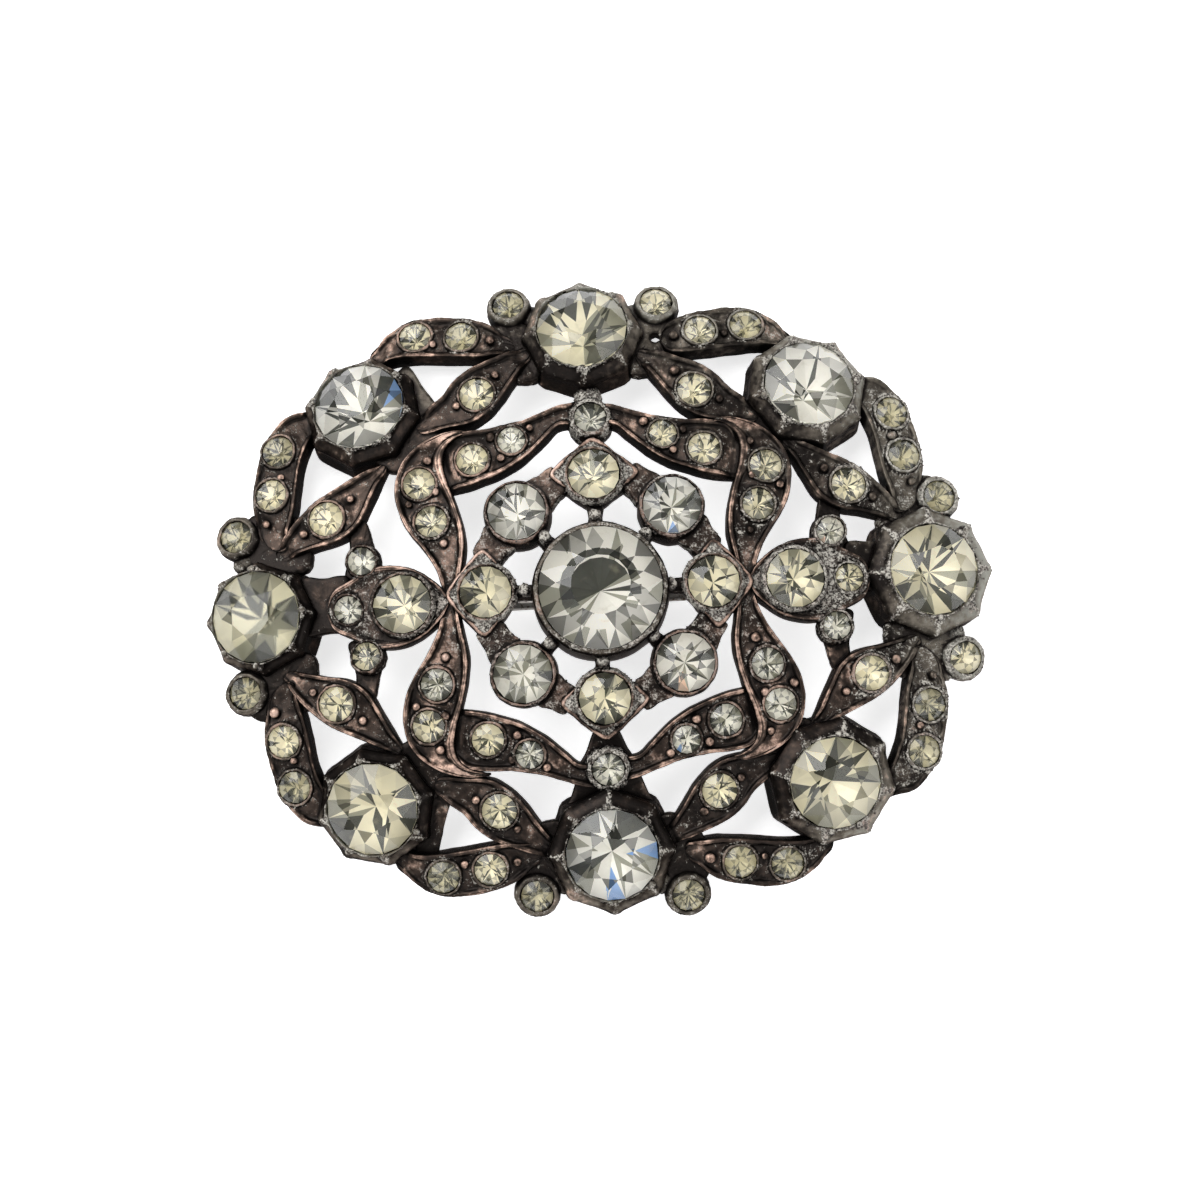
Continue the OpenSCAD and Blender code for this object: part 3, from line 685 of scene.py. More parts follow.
def under_stones(flat, height, crust, high, stones):
    """A leaf section's heights and crust, dented under each stone with a little heap of crust round it."""
    on_top = height > -0.05
    inside = on_top & (height < high - 0.1)
    for x, y, r in stones:
        off = np.hypot(flat[:, 0] - x, flat[:, 1] - y)
        height = np.where(inside, height + 0.22 * hump(off, r + 0.2, 0.4), height)
        height = np.where(on_top & (off < r + 0.02), -0.35 - 0.5 * (1 - off / r), height)
        crust = np.maximum(crust, np.where(on_top, 0.9 * hump(off, r + 0.25, 0.35), 0))
    return height, crust


def round_off(rings, marks):
    """Adds rings that round off both open ends of a leaf."""
    rings, marks = list(rings), list(marks)
    for end, step in ((0, 1), (-1, -2)):
        last = rings[end]
        middle = last.mean(0)
        way = middle - rings[step].mean(0)
        way[2] = 0
        way /= np.linalg.norm(way)
        wide = np.ptp(last[:, :2] @ np.array((-way[1], way[0])))
        for bend in np.radians((25, 45, 62, 76, 86)):
            shrunk = middle + (last - middle) * (math.cos(bend), math.cos(bend), 0.5 + 0.5 * math.cos(bend))
            ring = shrunk + way * 0.4 * wide * math.sin(bend)
            rings.insert(0, ring) if end == 0 else rings.append(ring)
            marks.insert(0, marks[0]) if end == 0 else marks.append(marks[-1])
    return np.array(rings), np.array(marks)


def leaf_frame(leaf, q):
    """A leaf's two edges and its stones in its own sheet in quarter q, with the frame of that sheet."""
    sides, drift = np.array(QUARTERS[q]), np.array(leaf[3][q])
    stones = np.array(leaf[2], float)
    spots = stones[:, :2] * sides + drift
    c = spots.mean(0)
    shares = np.linspace(0, 1, LEAF_STEPS + 1)
    edges = [in_sheet(along(leaf[k], shares) * sides + drift, c) for k in range(2)]
    return on_dome(c), edges, np.c_[in_sheet(spots, c), stones[:, 2]], shares


def leaf_shell(metal, leaf, q, seed, inner_rim=None, band=None, bright=1, first=0):
    """A leaf with raised rims, from its step first on.

    inner_rim widens the inner rim by share of length, band is where the trough ends, bright scales copper.
    """
    place, (outer, inner), stones, shares = leaf_frame(leaf, q)
    wave = wavering(shares * 9, seed, 0.03)
    rings, marks = [], []
    for k, t in enumerate(shares):
        wide = float(np.linalg.norm(inner[k] - outer[k]))
        if wide < NARROWEST or k < first:
            continue
        across = (inner[k] - outer[k]) / wide
        deep = float(smooth(0, TROUGH_SPAN[0] + 0.06, t) * (1 - smooth(TROUGH_SPAN[1] - 0.06, 1, t)))
        plain = float(smooth(band - 0.06, band + 0.04, t)) if band else 0
        deep *= 1 - plain
        rims = (RIM_WIDTH, RIM_WIDTH + (inner_rim(t) if inner_rim else 0))
        high = RIM_TOP + wave[k] - END_DROP * float(1 - smooth(0, 0.12, t) * (1 - smooth(0.88, 1, t)))
        section = leaf_section(wide, rims, high - 0.03 - (TROUGH - 0.03) * deep, high)
        flat = outer[k] + np.outer(section[:, 0], across)
        raised = section[:, 1] > 0
        copper = np.maximum(section[:, 2], 1.2 * plain * raised) * bright
        if inner_rim:
            on_fold = (section[:, 0] > wide - rims[1] - 0.05) & raised
            copper = np.where(on_fold, 1.15 * section[:, 2] - 0.1, copper)
        height, crust = under_stones(flat, section[:, 1], section[:, 3], high, stones)
        rings.append(np.c_[flat, height])
        marks.append(np.stack([copper, crust, np.zeros(len(copper))], 1))
    rings, marks = round_off(rings, marks)
    metal.shell(place, rings, marks)
    for k, (x, y, r) in enumerate(stones):
        leaf_collar(metal, place @ Matrix.Translation((x, y, SMALL_LIFT)), r, seed + str(k))


def leaf_collar(metal, place, r, seed):
    """The thin collar that holds a stone in a leaf."""
    side, rim = (0.3, 0.6, 0.1), (0.6, 0.8, 0.3)
    profile = [
        (r + 0.15, -1, (0, 0, 0)), (r + 0.34, -0.5, side), (r + 0.3, -0.12, side), (r + 0.24, 0.02, side),
        (r + 0.19, 0.11, rim), (r + 0.12, 0.15, rim), (r + 0.05, 0.13, rim), (r + 0.02, 0.07, (0.1, 0.3, 0)),
    ]
    lathe(metal, place, profile + seat(r), seed, waver=0.035)


def grain_spots(leaf, q, places, seed):
    """Where a leaf's bead grains sit, as points of the row frame."""
    place, (outer, inner), _, _ = leaf_frame(leaf, q)
    draw = random.Random(seed)
    for t, v in places:
        t, v = t + draw.uniform(-0.015, 0.015), v + draw.uniform(-0.05, 0.05)
        k = round(t * LEAF_STEPS)
        flat = outer[k] + (inner[k] - outer[k]) * v
        yield place @ Vector((flat[0], flat[1], RIM_TOP - TROUGH + 0.2)), draw.uniform(*GRAIN_SIZE)


# A bead grain: its radius from and to, and the sides and bands of its ball
GRAIN_SIZE = (0.3, 0.38)
GRAIN_SIDES = 14
GRAIN_BANDS = 8


def grain(metal, spot, r, finish=(0.95, 0.45, 0)):
    """A bead grain: a small ball of metal pushed up beside a stone."""
    turns = np.arange(GRAIN_SIDES) / GRAIN_SIDES * 2 * math.pi
    bends = [(k / GRAIN_BANDS - 0.5) * math.pi for k in range(1, GRAIN_BANDS)]
    rings = [ring_of(r * math.cos(bend), turns, r * math.sin(bend)) for bend in bends]
    metal.shell(Matrix.Translation(spot), rings, finish)


# Flat plates of sheet

def slab(metal, corners, c, top, finish, hole=None, count=96):
    """A plate with rounded edges, over c, with an optional round hole given as x, y and radius."""
    edge = in_sheet(closed_curve(corners, count), c)
    middle = edge.mean(0)
    if hole:
        middle = in_sheet([hole[:2]], c)[0]
    out = edge - middle
    reach = np.linalg.norm(out, axis=1)[:, None]
    way = out / reach
    core = np.full((count, 1), hole[2] if hole else 0.05)
    rings, heights = [], []
    low = -SHEET_BELOW
    for inset, z in ((0.25, low), (0.04, low + 0.1), (0, -0.4), (0.02, top - 0.12), (0.12, top)):
        rings.append(reach - inset)
        heights.append(z)
    for share in (0.85, 0.65, 0.45, 0.25, 0.1):
        rings.append(core + (reach - 0.12 - core) * share)
        heights.append(top)
    if hole:
        rings += [core, core, core + 0.1]
        heights += [top - 0.1, low + 0.1, low]
    shells = [np.c_[middle + way * r, np.full(count, z)] for r, z in zip(rings, heights)]
    metal.shell(on_dome(c), shells, finish, looped=bool(hole))


def bar(metal, start, end, half_start, half_end, top, finish):
    """A short bar of sheet between two places of the plan, from one half width to another."""
    way = (end - start) / np.linalg.norm(end - start)
    side = np.array((-way[1], way[0]))
    middle = (start + end) / 2
    half = (half_start + half_end) / 2
    corners = [
        start + side * half_start, start, start - side * half_start, middle - side * half,
        end - side * half_end, end, end + side * half_end, middle + side * half,
    ]
    slab(metal, corners, tuple(middle), top, finish, count=48)


def mean(points):
    return tuple(np.mean(np.array(points, float), 0))


# Cut stones

def brilliant(r, table, fold=8, low=0.3, heart=0):
    """Points, glass faces and foil faces with their kinds, of a round stone with this many table sides.

    A heart, as a share of the radius, parts the foil under the table from the foil round it.
    """
    step = math.pi / fold

    def ring(radius, z, shares):
        return [(radius * math.cos(a * step), radius * math.sin(a * step), z) for a in shares]

    evens, odds, every = range(0, 2 * fold, 2), range(1, 2 * fold, 2), range(2 * fold)
    star_r = 0.5 * (table + 1) * r * 0.98
    top = (CROWN + GIRDLE) * r
    star_z = top - (star_r * math.cos(step) - table * r) * CROWN / (1 - table)
    low_r = low * r
    low_z = -PAVILION * r * (1 - low_r * math.cos(step) / r)
    points = (
        ring(table * r, top, evens) + ring(star_r, star_z, odds) + ring(r, GIRDLE * r, every)
        + ring(r, 0, every) + ring(low_r, low_z, odds) + [(0, 0, -PAVILION * r)]
    )
    if heart:
        points += ring(heart * r, -PAVILION * r + heart / low * (low_z + PAVILION * r), odds)
        points += ring(heart * r * math.cos(step), -PAVILION * r * (1 - heart * math.cos(step)), evens)
    star, girdle, belt, low, tip = (fold * k for k in (1, 2, 4, 6, 7))
    glass, foil = [("table", tuple(range(fold)))], []
    for k in range(fold):
        n, p = (k + 1) % fold, (k - 1) % fold
        a, b, c = 2 * k, 2 * k + 1, (2 * k + 2) % (2 * fold)
        glass += [
            ("kite", (k, star + p, girdle + a, star + k)), ("star", (k, star + k, n)),
            ("edge", (star + k, girdle + a, girdle + b)), ("edge", (star + k, girdle + b, girdle + c)),
        ]
        foil += [("narrow", (low + k, belt + b, belt + a)), ("narrow", (low + k, belt + c, belt + b))]
        if heart:
            side, middle, last = tip + 1 + k, tip + 1 + fold + k, tip + 1 + p
            foil += [
                ("heart", (tip, side, middle)), ("heart", (tip, middle, last)),
                ("broad", (middle, side, low + k, belt + a)), ("broad", (middle, belt + a, low + p, last)),
            ]
        else:
            foil += [("broad", (tip, low + k, belt + a)), ("broad", (tip, belt + a, low + p))]
    for k in every:
        n = (k + 1) % (2 * fold)
        glass.append(("belt", (belt + k, belt + n, girdle + n, girdle + k)))
    return points, glass, foil


# Painted tones of the foil facets: painted reflection where they throw light back, painted shade where they
# lose it, and painted coloured glints
CREAM = (0.99, 0.94, 0.76)
PALE = (0.99, 0.97, 0.9)
HALF = (0.36, 0.355, 0.285)
DARK = (0.07, 0.073, 0.06)
BLUE = (0.25, 0.45, 0.85)
PEACH = (0.9, 0.6, 0.42)
# Painted shade of each kind of facet in the glass, as the share of the light that it lets through
CROWN_LIGHT = {
    "table": (1,), "kite": (1, 0.95, 0.5), "star": (0.12, 0.3, 0.5), "edge": (1, 0.8, 0.3), "belt": (0.8,),
}
# The same in a small stone, whose petals and table show as rings
PETAL_LIGHT = {"table": (1,), "kite": (1, 0.9), "star": (0.22, 0.32), "edge": (0.9, 0.35), "belt": (0.6,)}
# The same in the centre stone, with its ring of small bright triangles round a dim table
SPARK_LIGHT = {"table": (0.95,), "kite": (1, 1, 0.3), "star": (1, 0.05), "edge": (1, 0.06), "belt": (0.9,)}
# The same in a clear stone of the rim, whose table stands out against dark triangles
CLEAR_LIGHT = {
    "table": (1,), "kite": (1, 0.9, 0.45), "star": (0.08, 0.25), "edge": (1, 0.6, 0.15), "belt": (0.8,),
}
# Painted tones of the foil under the centre stone's table, all round: painted shade, with one painted
# highlight patch
HEART = (PALE, DARK, DARK, HALF) + (DARK,) * 14 + (HALF, DARK, HALF) + (PALE,) * 10 + (HALF,)
# East of this the stones of the rim leaves are all clouded
EAST_X = 12
# How much a table's share of its stone varies, and how far a stone leans in its seat
TABLE_SPREAD = (-0.05, 0.02)
SEAT_LEAN = 0.02


class Look:
    """How a stone looks: its materials, the painted bright tone of its foil, its tint, and how its facets
    vary.

    Facet tones are painted light: fire is how often a narrow foil facet gets a painted coloured glint, calm
    how often one is simply painted bright, light the painted shade of its glass facets, and shares how many
    broad and narrow foil facets are painted bright.
    """

    def __init__(self, glass, back, bright, tint, fire=0, calm=0, light=CROWN_LIGHT, shares=(0.47, 0.43)):
        self.glass, self.back, self.bright, self.tint = glass, back, bright, tint
        self.fire, self.calm, self.light, self.shares = fire, calm, light, shares

    def foil_tone(self, draw, kind):
        """The painted tone of one foil facet: a painted highlight, half shade, painted shade or a painted
        coloured glint.
        """
        if draw.random() < self.calm:
            return self.bright
        share = draw.random()
        if kind == "broad":
            return self.bright if share < self.shares[0] else HALF if share < self.shares[0] + 0.22 else DARK
        shine = self.shares[1]
        steps = (
            (shine, self.bright), (shine + 0.16, HALF),
            (1 - 2 * self.fire, DARK), (1 - self.fire, BLUE), (1.01, PEACH),
        )
        return next(tone for limit, tone in steps if share < limit)

    def crown_tone(self, draw, kind):
        """The tint of one facet of the glass, which paints shade on some facets."""
        light = draw.choice(self.light[kind])
        return tuple(light * part for part in self.tint)


def stone_piece(name, node, looks, east=None, **cut_form):
    """The stones of a CAD node, cut as brilliants. Each takes one of the looks, or the one for the east."""
    points, faces, slots, tones = [], [], [], []
    for number, (centre, axis, r) in enumerate(cut_stones(node)):
        draw = random.Random(f"{node} {number}")
        look = draw.choice(looks)
        if east and centre[0] > EAST_X:
            look = east
        cut, crown, pavilion = brilliant(r, TABLE + draw.uniform(*TABLE_SPREAD), **cut_form)
        lean = Vector(axis) + Vector((draw.uniform(-1, 1), draw.uniform(-1, 1), 0)) * SEAT_LEAN
        turn = draw.uniform(0, 6.28)
        place = upright(centre, lean, (math.cos(turn), math.sin(turn), 0.01))
        start = len(points)
        points += [place @ Vector(p) for p in cut]
        for kind, face in crown:
            faces.append([start + k for k in face])
            slots.append(look.glass)
            tones.append(look.crown_tone(draw, kind))
        under_table = 0
        for kind, face in pavilion:
            faces.append([start + k for k in face])
            slots.append(look.back)
            tones.append(HEART[under_table % len(HEART)] if kind == "heart" else look.foil_tone(draw, kind))
            under_table += kind == "heart"
    mesh = bpy.data.meshes.new(name)
    mesh.from_pydata([tuple(p * MM) for p in points], [], faces)
    layer = mesh.attributes.new("tone", "FLOAT_COLOR", "FACE")
    layer.data.foreach_set("color", [part for tone in tones for part in (*tone, 1)])
    mesh.polygons.foreach_set("material_index", slots)
    work = bmesh.new()
    work.from_mesh(mesh)
    bmesh.ops.recalc_face_normals(work, faces=work.faces)
    work.to_mesh(mesh)
    work.free()
    return shown(name, mesh, [node], STONE_MATERIALS)


# Materials

class Value:
    """A socket of a node, on which arithmetic adds Math nodes."""

    def __init__(self, nodes, socket):
        self.nodes, self.socket = nodes, socket

    def math(self, operation, a, b):
        return self.nodes.add("ShaderNodeMath", {"operation": operation}, {0: a, 1: b})

    def __add__(self, other):
        return self.math("ADD", self, other)

    def __sub__(self, other):
        return self.math("SUBTRACT", self, other)

    def __mul__(self, other):
        return self.math("MULTIPLY", self, other)

    def __rsub__(self, other):
        return self.math("SUBTRACT", other, self)

    __radd__ = __add__
    __rmul__ = __mul__


class Nodes:
    """The nodes of one tree."""

    def __init__(self, tree):
        self.tree = tree

    def add(self, kind, settings, inputs, output=0):
        """A node with its settings and then its inputs set, as the Value of one of its outputs."""
        node = self.tree.nodes.new(kind)
        for name, value in settings.items():
            setattr(node, name, value)
        for name, value in inputs.items():
            self.feed(node.inputs[name], value)
        return Value(self, node.outputs[output])

    def feed(self, socket, value):
        if isinstance(value, Value):
            self.tree.links.new(value.socket, socket)
        else:
            socket.default_value = value


class Finish(Nodes):
    """The nodes of one new material."""

    def __init__(self, name):
        self.material = bpy.data.materials.new(name)
        self.material.use_nodes = True
        super().__init__(self.material.node_tree)
        self.shader = self.tree.nodes["Principled BSDF"]

    def set(self, **inputs):
        """Sets the shader's sockets; an underscore stands for a space."""
        for name, value in inputs.items():
            self.feed(self.shader.inputs[name.replace("_", " ")], value)

    def noise(self, size, detail, shift=0.0):
        """Noise whose features are about size millimetres, from 0 to 1."""
        place = self.add("ShaderNodeTexCoord", {}, {}, "Object")
        where = self.add("ShaderNodeMapping", {}, {"Vector": place, "Location": (shift, shift, 0)})
        inputs = {"Vector": where, "Scale": 1 / (size * MM), "Detail": detail}
        return self.add("ShaderNodeTexNoise", {}, inputs)

    def step(self, value, low, high):
        """0 below low and 1 above high."""
        inputs = {0: value, 1: low, 2: high}
        return self.add("ShaderNodeMapRange", {"interpolation_type": "SMOOTHSTEP"}, inputs)

    def mix(self, factor, a, b):
        """From colour a to colour b."""
        colours = {0: factor}
        for slot, colour in ((6, a), (7, b)):
            colours[slot] = colour if isinstance(colour, Value) else (*colour, 1)
        return self.add("ShaderNodeMix", {"data_type": "RGBA"}, colours, 2)


BLACK = (0.013, 0.011, 0.01)
BROWN = (0.05, 0.036, 0.029)
COPPER = (0.46, 0.315, 0.245)
DULL_COPPER = (0.15, 0.098, 0.078)
ROSE = (0.52, 0.38, 0.32)
ROSY_CRUST = (0.3, 0.23, 0.2)
OLIVE = (0.12, 0.106, 0.086)
SILVER = (0.22, 0.22, 0.195)
ASH = (0.05, 0.046, 0.042)
CRUST = (0.4, 0.38, 0.34)
PALE_CRUMB = (0.15, 0.125, 0.108)
FOIL_STAIN = (0.42, 0.38, 0.27)
STEEL = (0.33, 0.31, 0.29)
RUST = (0.1, 0.06, 0.04)
# The dark tint of the metal's edges, which keeps walls seen at a slant dark
EDGE_TINT = (0.3, 0.26, 0.24, 1)


def tarnished_metal():
    """Old plated metal: black in hollows from tarnish and painted shade, coppery where rubbed, grey where
    plate lasts, caked with solder; the rim cups' outward faces also carry a painted reflection.
    """
    n = Finish("tarnished_metal")
    finish = {"attribute_name": "finish"}
    marks = n.add("ShaderNodeAttribute", finish, {}, "Color")
    copper, crust, grey = [n.add("ShaderNodeSeparateColor", {}, {0: marks}, k) for k in range(3)]
    # Painted shade of hollows, with their tarnish: it darkens the metal to black and takes copper, crust and
    # grey away there
    tarnish_and_shade = n.step(n.add("ShaderNodeAttribute", finish, {}, "Alpha"), 0.1, 0.45)
    broad = n.noise(2.6, 3)
    fine = n.noise(0.5, 6, 0.02)
    specks = n.noise(0.14, 3, 0.05)
    worn = n.step(copper - tarnish_and_shade * 0.8 + (fine - 0.5) * 1.5 + (broad - 0.5) * 2.5, 0.5, 1.15)
    caked = n.step(crust - tarnish_and_shade * 0.3 + (specks - 0.5) * 1.2 + (fine - 0.5) * 1.4, 0.58, 0.9)
    rubbed = n.step(grey + (broad - 0.5) * 0.7 + (fine - 0.5) * 0.7, 0.15, 0.75)
    base = n.mix(n.step(fine * 0.4 + broad * 0.6 + copper * 0.3 - tarnish_and_shade * 0.3, 0.45, 0.75), BLACK, BROWN)
    base = n.mix(rubbed * (1 - tarnish_and_shade), base, n.mix(n.step(grey + (fine - 0.5) * 0.9, 0.5, 1), OLIVE, SILVER))
    rubbed_copper = n.mix(n.step(specks * 0.5 + fine * 0.5, 0.38, 0.62), DULL_COPPER, COPPER)
    base = n.mix(worn, base, n.mix(n.step(copper + (broad - 0.5), 0.9, 1.3), rubbed_copper, ROSE))
    crust_colour = n.mix(n.step(copper + (broad - 0.5), 0.3, 0.8), CRUST, ROSY_CRUST)
    base = n.mix(caked, base, n.mix(n.step(specks + crust * 0.15, 0.42, 0.72), ASH, crust_colour))
    # Painted shade: the hollows go black
    base = n.mix(tarnish_and_shade * 0.85, base, BLACK)
    height = fine * 0.5 + specks * (0.3 + caked * 1.4)
    bump = n.add("ShaderNodeBump", {}, {"Strength": 0.8, "Distance": 0.09 * MM, "Height": height})
    n.set(
        Base_Color=base, Metallic=(0.9 - worn * 0.35 - rubbed * 0.4) * (1 - caked * 0.85),
        Roughness=0.32 + caked * 0.25 + fine * 0.15, Normal=bump, Specular_IOR_Level=0.3,
        Specular_Tint=EDGE_TINT,
    )
    return n.material


def crumb_metal():
    """The grey crumbs of solder and dirt."""
    n = Finish("solder_crumbs")
    specks = n.noise(0.2, 3)
    n.set(
        Base_Color=n.mix(n.step(specks, 0.35, 0.75), ASH, PALE_CRUMB), Metallic=0.3,
        Roughness=0.6 + specks * 0.2,
    )
    return n.material


def glass(name, roughness):
    """The clear body of a stone, tinted facet by facet with painted shade."""
    n = Finish(name)
    tone = n.add("ShaderNodeAttribute", {"attribute_name": "tone"}, {}, "Color")
    n.set(Base_Color=tone, Transmission_Weight=1.0, IOR=1.52, Roughness=roughness)
    return n.material


def foil(name, metallic, roughness):
    """The foil behind a stone, with painted highlights and shade facet by facet, and a few stains."""
    n = Finish(name)
    tone = n.add("ShaderNodeAttribute", {"attribute_name": "tone"}, {}, "Color")
    stains = n.step(n.noise(0.9, 4), 0.55, 0.8)
    n.set(Base_Color=n.mix(stains * 0.3, tone, FOIL_STAIN), Metallic=metallic, Roughness=roughness)
    return n.material


def pin_steel():
    """The back's steel, dulled and spotted."""
    n = Finish("pin_steel")
    broad, fine = n.noise(1.5, 4), n.noise(0.3, 5)
    spots = n.step(fine + broad * 0.5, 0.75, 0.95)
    n.set(
        Base_Color=n.mix(spots, STEEL, RUST), Metallic=0.9 - spots * 0.4,
        Roughness=0.35 + spots * 0.3 + fine * 0.1,
    )
    return n.material


def paper():
    """The plain white ground."""
    n = Finish("white_ground")
    n.set(
        Base_Color=n.mix(n.noise(60, 2), (0.88, 0.88, 0.88), (0.9, 0.9, 0.9)), Roughness=0.8,
        Emission_Color=(1, 1, 1, 1), Emission_Strength=0.72,
    )
    return n.material


METAL = tarnished_metal()
STONE_MATERIALS = [
    foil("bright_foil", 0.15, 0.35), foil("dulled_foil", 0.4, 0.48),
    glass("clear_glass", 0.0), glass("clouded_glass", 0.22),
]
BRIGHT_FOIL, DULLED_FOIL, CLEAR_GLASS, CLOUDED_GLASS = range(4)


# The setting

RIM_STONES = [cut_stones(f"rim_stone_{k}")[0] for k in range(1, 9)]
HALO_STONES = [cut_stones(f"halo_stone_{k}")[0] for k in range(1, 9)]
METAL_PIECES = []


def keep(name, metal):
    METAL_PIECES.append(metal_piece(name, metal, METAL))


def make_rim_cups():
    cups = Metal()
    for k, stone in enumerate(RIM_STONES):
        rim_cup(cups, stone, CUP_WIDER[k], f"cup {k}")
    keep("rim_cups", cups)


def at_stone(stone):
    centre, axis, _ = stone
    return upright(centre, axis, (1, 0.01, 0))


def make_halo():
    """The centre collet, the eight round it, and the beads and necks between."""
    collets = Metal()
    centre = cut_stones("centre_stone")[0]
    round_collet(
        collets, at_stone(centre), centre[2], 0.47, CENTRE_BELOW + 2, LIP + 0.03, "centre",
        rim=(0.4, 0.75, 0.5), side=(0.1, 0.3, 0.1),
    )
    for k, stone in enumerate(HALO_STONES):
        if k % 2 == 0:
            pointed_collet(collets, stone, f"pointed {k}")
        else:
            round_collet(collets, at_stone(stone), stone[2], 0.32, COLLET_BELOW + HALO_LIFT, LIP, f"halo {k}")
        turn = math.atan2(stone[0][1], stone[0][0])
        way = np.array((math.cos(turn), math.sin(turn)))
        spot = on_dome(way * BEAD_CIRCLE)
        domed_post(collets, spot, BEAD_R, COLLET_BELOW, BEAD_TOP, f"bead {k}", (0.3, 1, 0.4))
        bar(collets, way * BEAD_BAR[0], way * BEAD_BAR[1], 0.5, 0.55, 0.25, (0.1, 0.5, 0))
    for k in range(0, 8, 2):
        away = math.atan2(round(HALO_STONES[k][0][1]), round(HALO_STONES[k][0][0]))
        for side in (-1, 1):
            corner = Matrix.Rotation(away, 2) @ Vector((0, HALO_WEB_AIM * side))
            aim = HALO_STONES[k][0][:2] + np.array(corner)
            start = HALO_STONES[(k - side) % 8][0][:2]
            way = (aim - start) / np.linalg.norm(aim - start)
            bar(collets, start + way * HALO_WEB_START, aim, 1.3, 1, 0.5, (0.5, 0.62, 0.1))
    keep("halo_collets", collets)


# Small collets joined to rim cups: depth, top of the joint, finish of rim, side and joint, and each one's cup
FLANK_CUPS = (0, 4, 4, 0, 2, 2, 6, 6)
JOINED = (
    ("link", COLLET_BELOW, 0.15, (0.35, 0.85, 0.3), (0.2, 0.8, 0.1), (0.1, 1, 0.4), (0, 4)),
    ("flank", FLANK_BELOW, 0.1, (0.2, 0.75, 0.35), (0.2, 0.6, 0.25), (0.1, 0.85, 0.4), FLANK_CUPS),
)
# How far a joint sits from its stone toward the cup, its radius, and how wide these collets' walls are
JOINT_REACH = 1.9
JOINT_R = 0.95
JOINED_WALL = 0.5


def make_links_and_flanks():
    """The small round collets beside the rim cups, with their solder."""
    collets = Metal()
    for kind, below, top, rim, side, joint, cups in JOINED:
        for k, cup in enumerate(cups):
            stone = cut_stones(f"{kind}_stone_{k + 1}")[0]
            round_collet(
                collets, at_stone(stone), stone[2], JOINED_WALL, below + SMALL_LIFT, LIP, f"{kind} {k}",
                rim=rim, side=side,
            )
            start, end = Vector(stone[0][:2]), Vector(RIM_STONES[cup][0][:2])
            p = start + (end - start).normalized() * JOINT_REACH
            domed_post(collets, on_dome(p), JOINT_R, below, top, f"{kind} joint {k}", joint)
    for start, end, half, grey in SOLDER:
        bar(collets, np.array(start), np.array(end), half, half, SOLDER_TOP, (0.15, 0.55, grey))
    for (narrow_y, narrow), (wide_y, wide) in NECKS:
        start, end = np.array((0, narrow_y)), np.array((0, wide_y))
        bar(collets, start, end, narrow, wide, NECK_TOP, (0.15, 0.5, 0.1))
    keep("link_and_flank_collets", collets)


def fold(t):
    """How much wider the inner rim of a scroll grows toward its bend."""
    return 0.04 + 0.3 * float(hump(t, 0.62, 0.16))


def make_leaves():
    """The three kinds of leaves, with their collars and bead grains."""
    kinds = (
        ("scroll_leaves", ((SCROLL_ALONG, {}, SCROLL_ALONG_GRAINS),
                           (SCROLL_ACROSS, {"inner_rim": fold, "band": 0.73}, SCROLL_ACROSS_GRAINS))),
        ("rim_leaves", ((RIM_LEAF_ALONG, {"bright": 0.7}, RIM_ALONG_GRAINS),
                        (RIM_LEAF_ACROSS, {"bright": 0.7}, RIM_ACROSS_GRAINS))),
        ("inner_leaves", ((INNER_LEAF_ALONG, {"bright": 0.75}, INNER_GRAINS),
                          (INNER_LEAF_ACROSS, {"bright": 0.75}, INNER_GRAINS))),
    )
    for name, leaves in kinds:
        metal = Metal()
        for number, (leaf, form, places) in enumerate(leaves):
            for q in range(4):
                seed = f"{name} {number} {q}"
                first = HOLE_STEPS if leaf is RIM_LEAF_ALONG and q == 0 else 0
                leaf_shell(metal, leaf, q, seed, first=first, **form)
                for spot, r in grain_spots(leaf, q, places, seed):
                    grain(metal, spot, r)
        keep(name, metal)


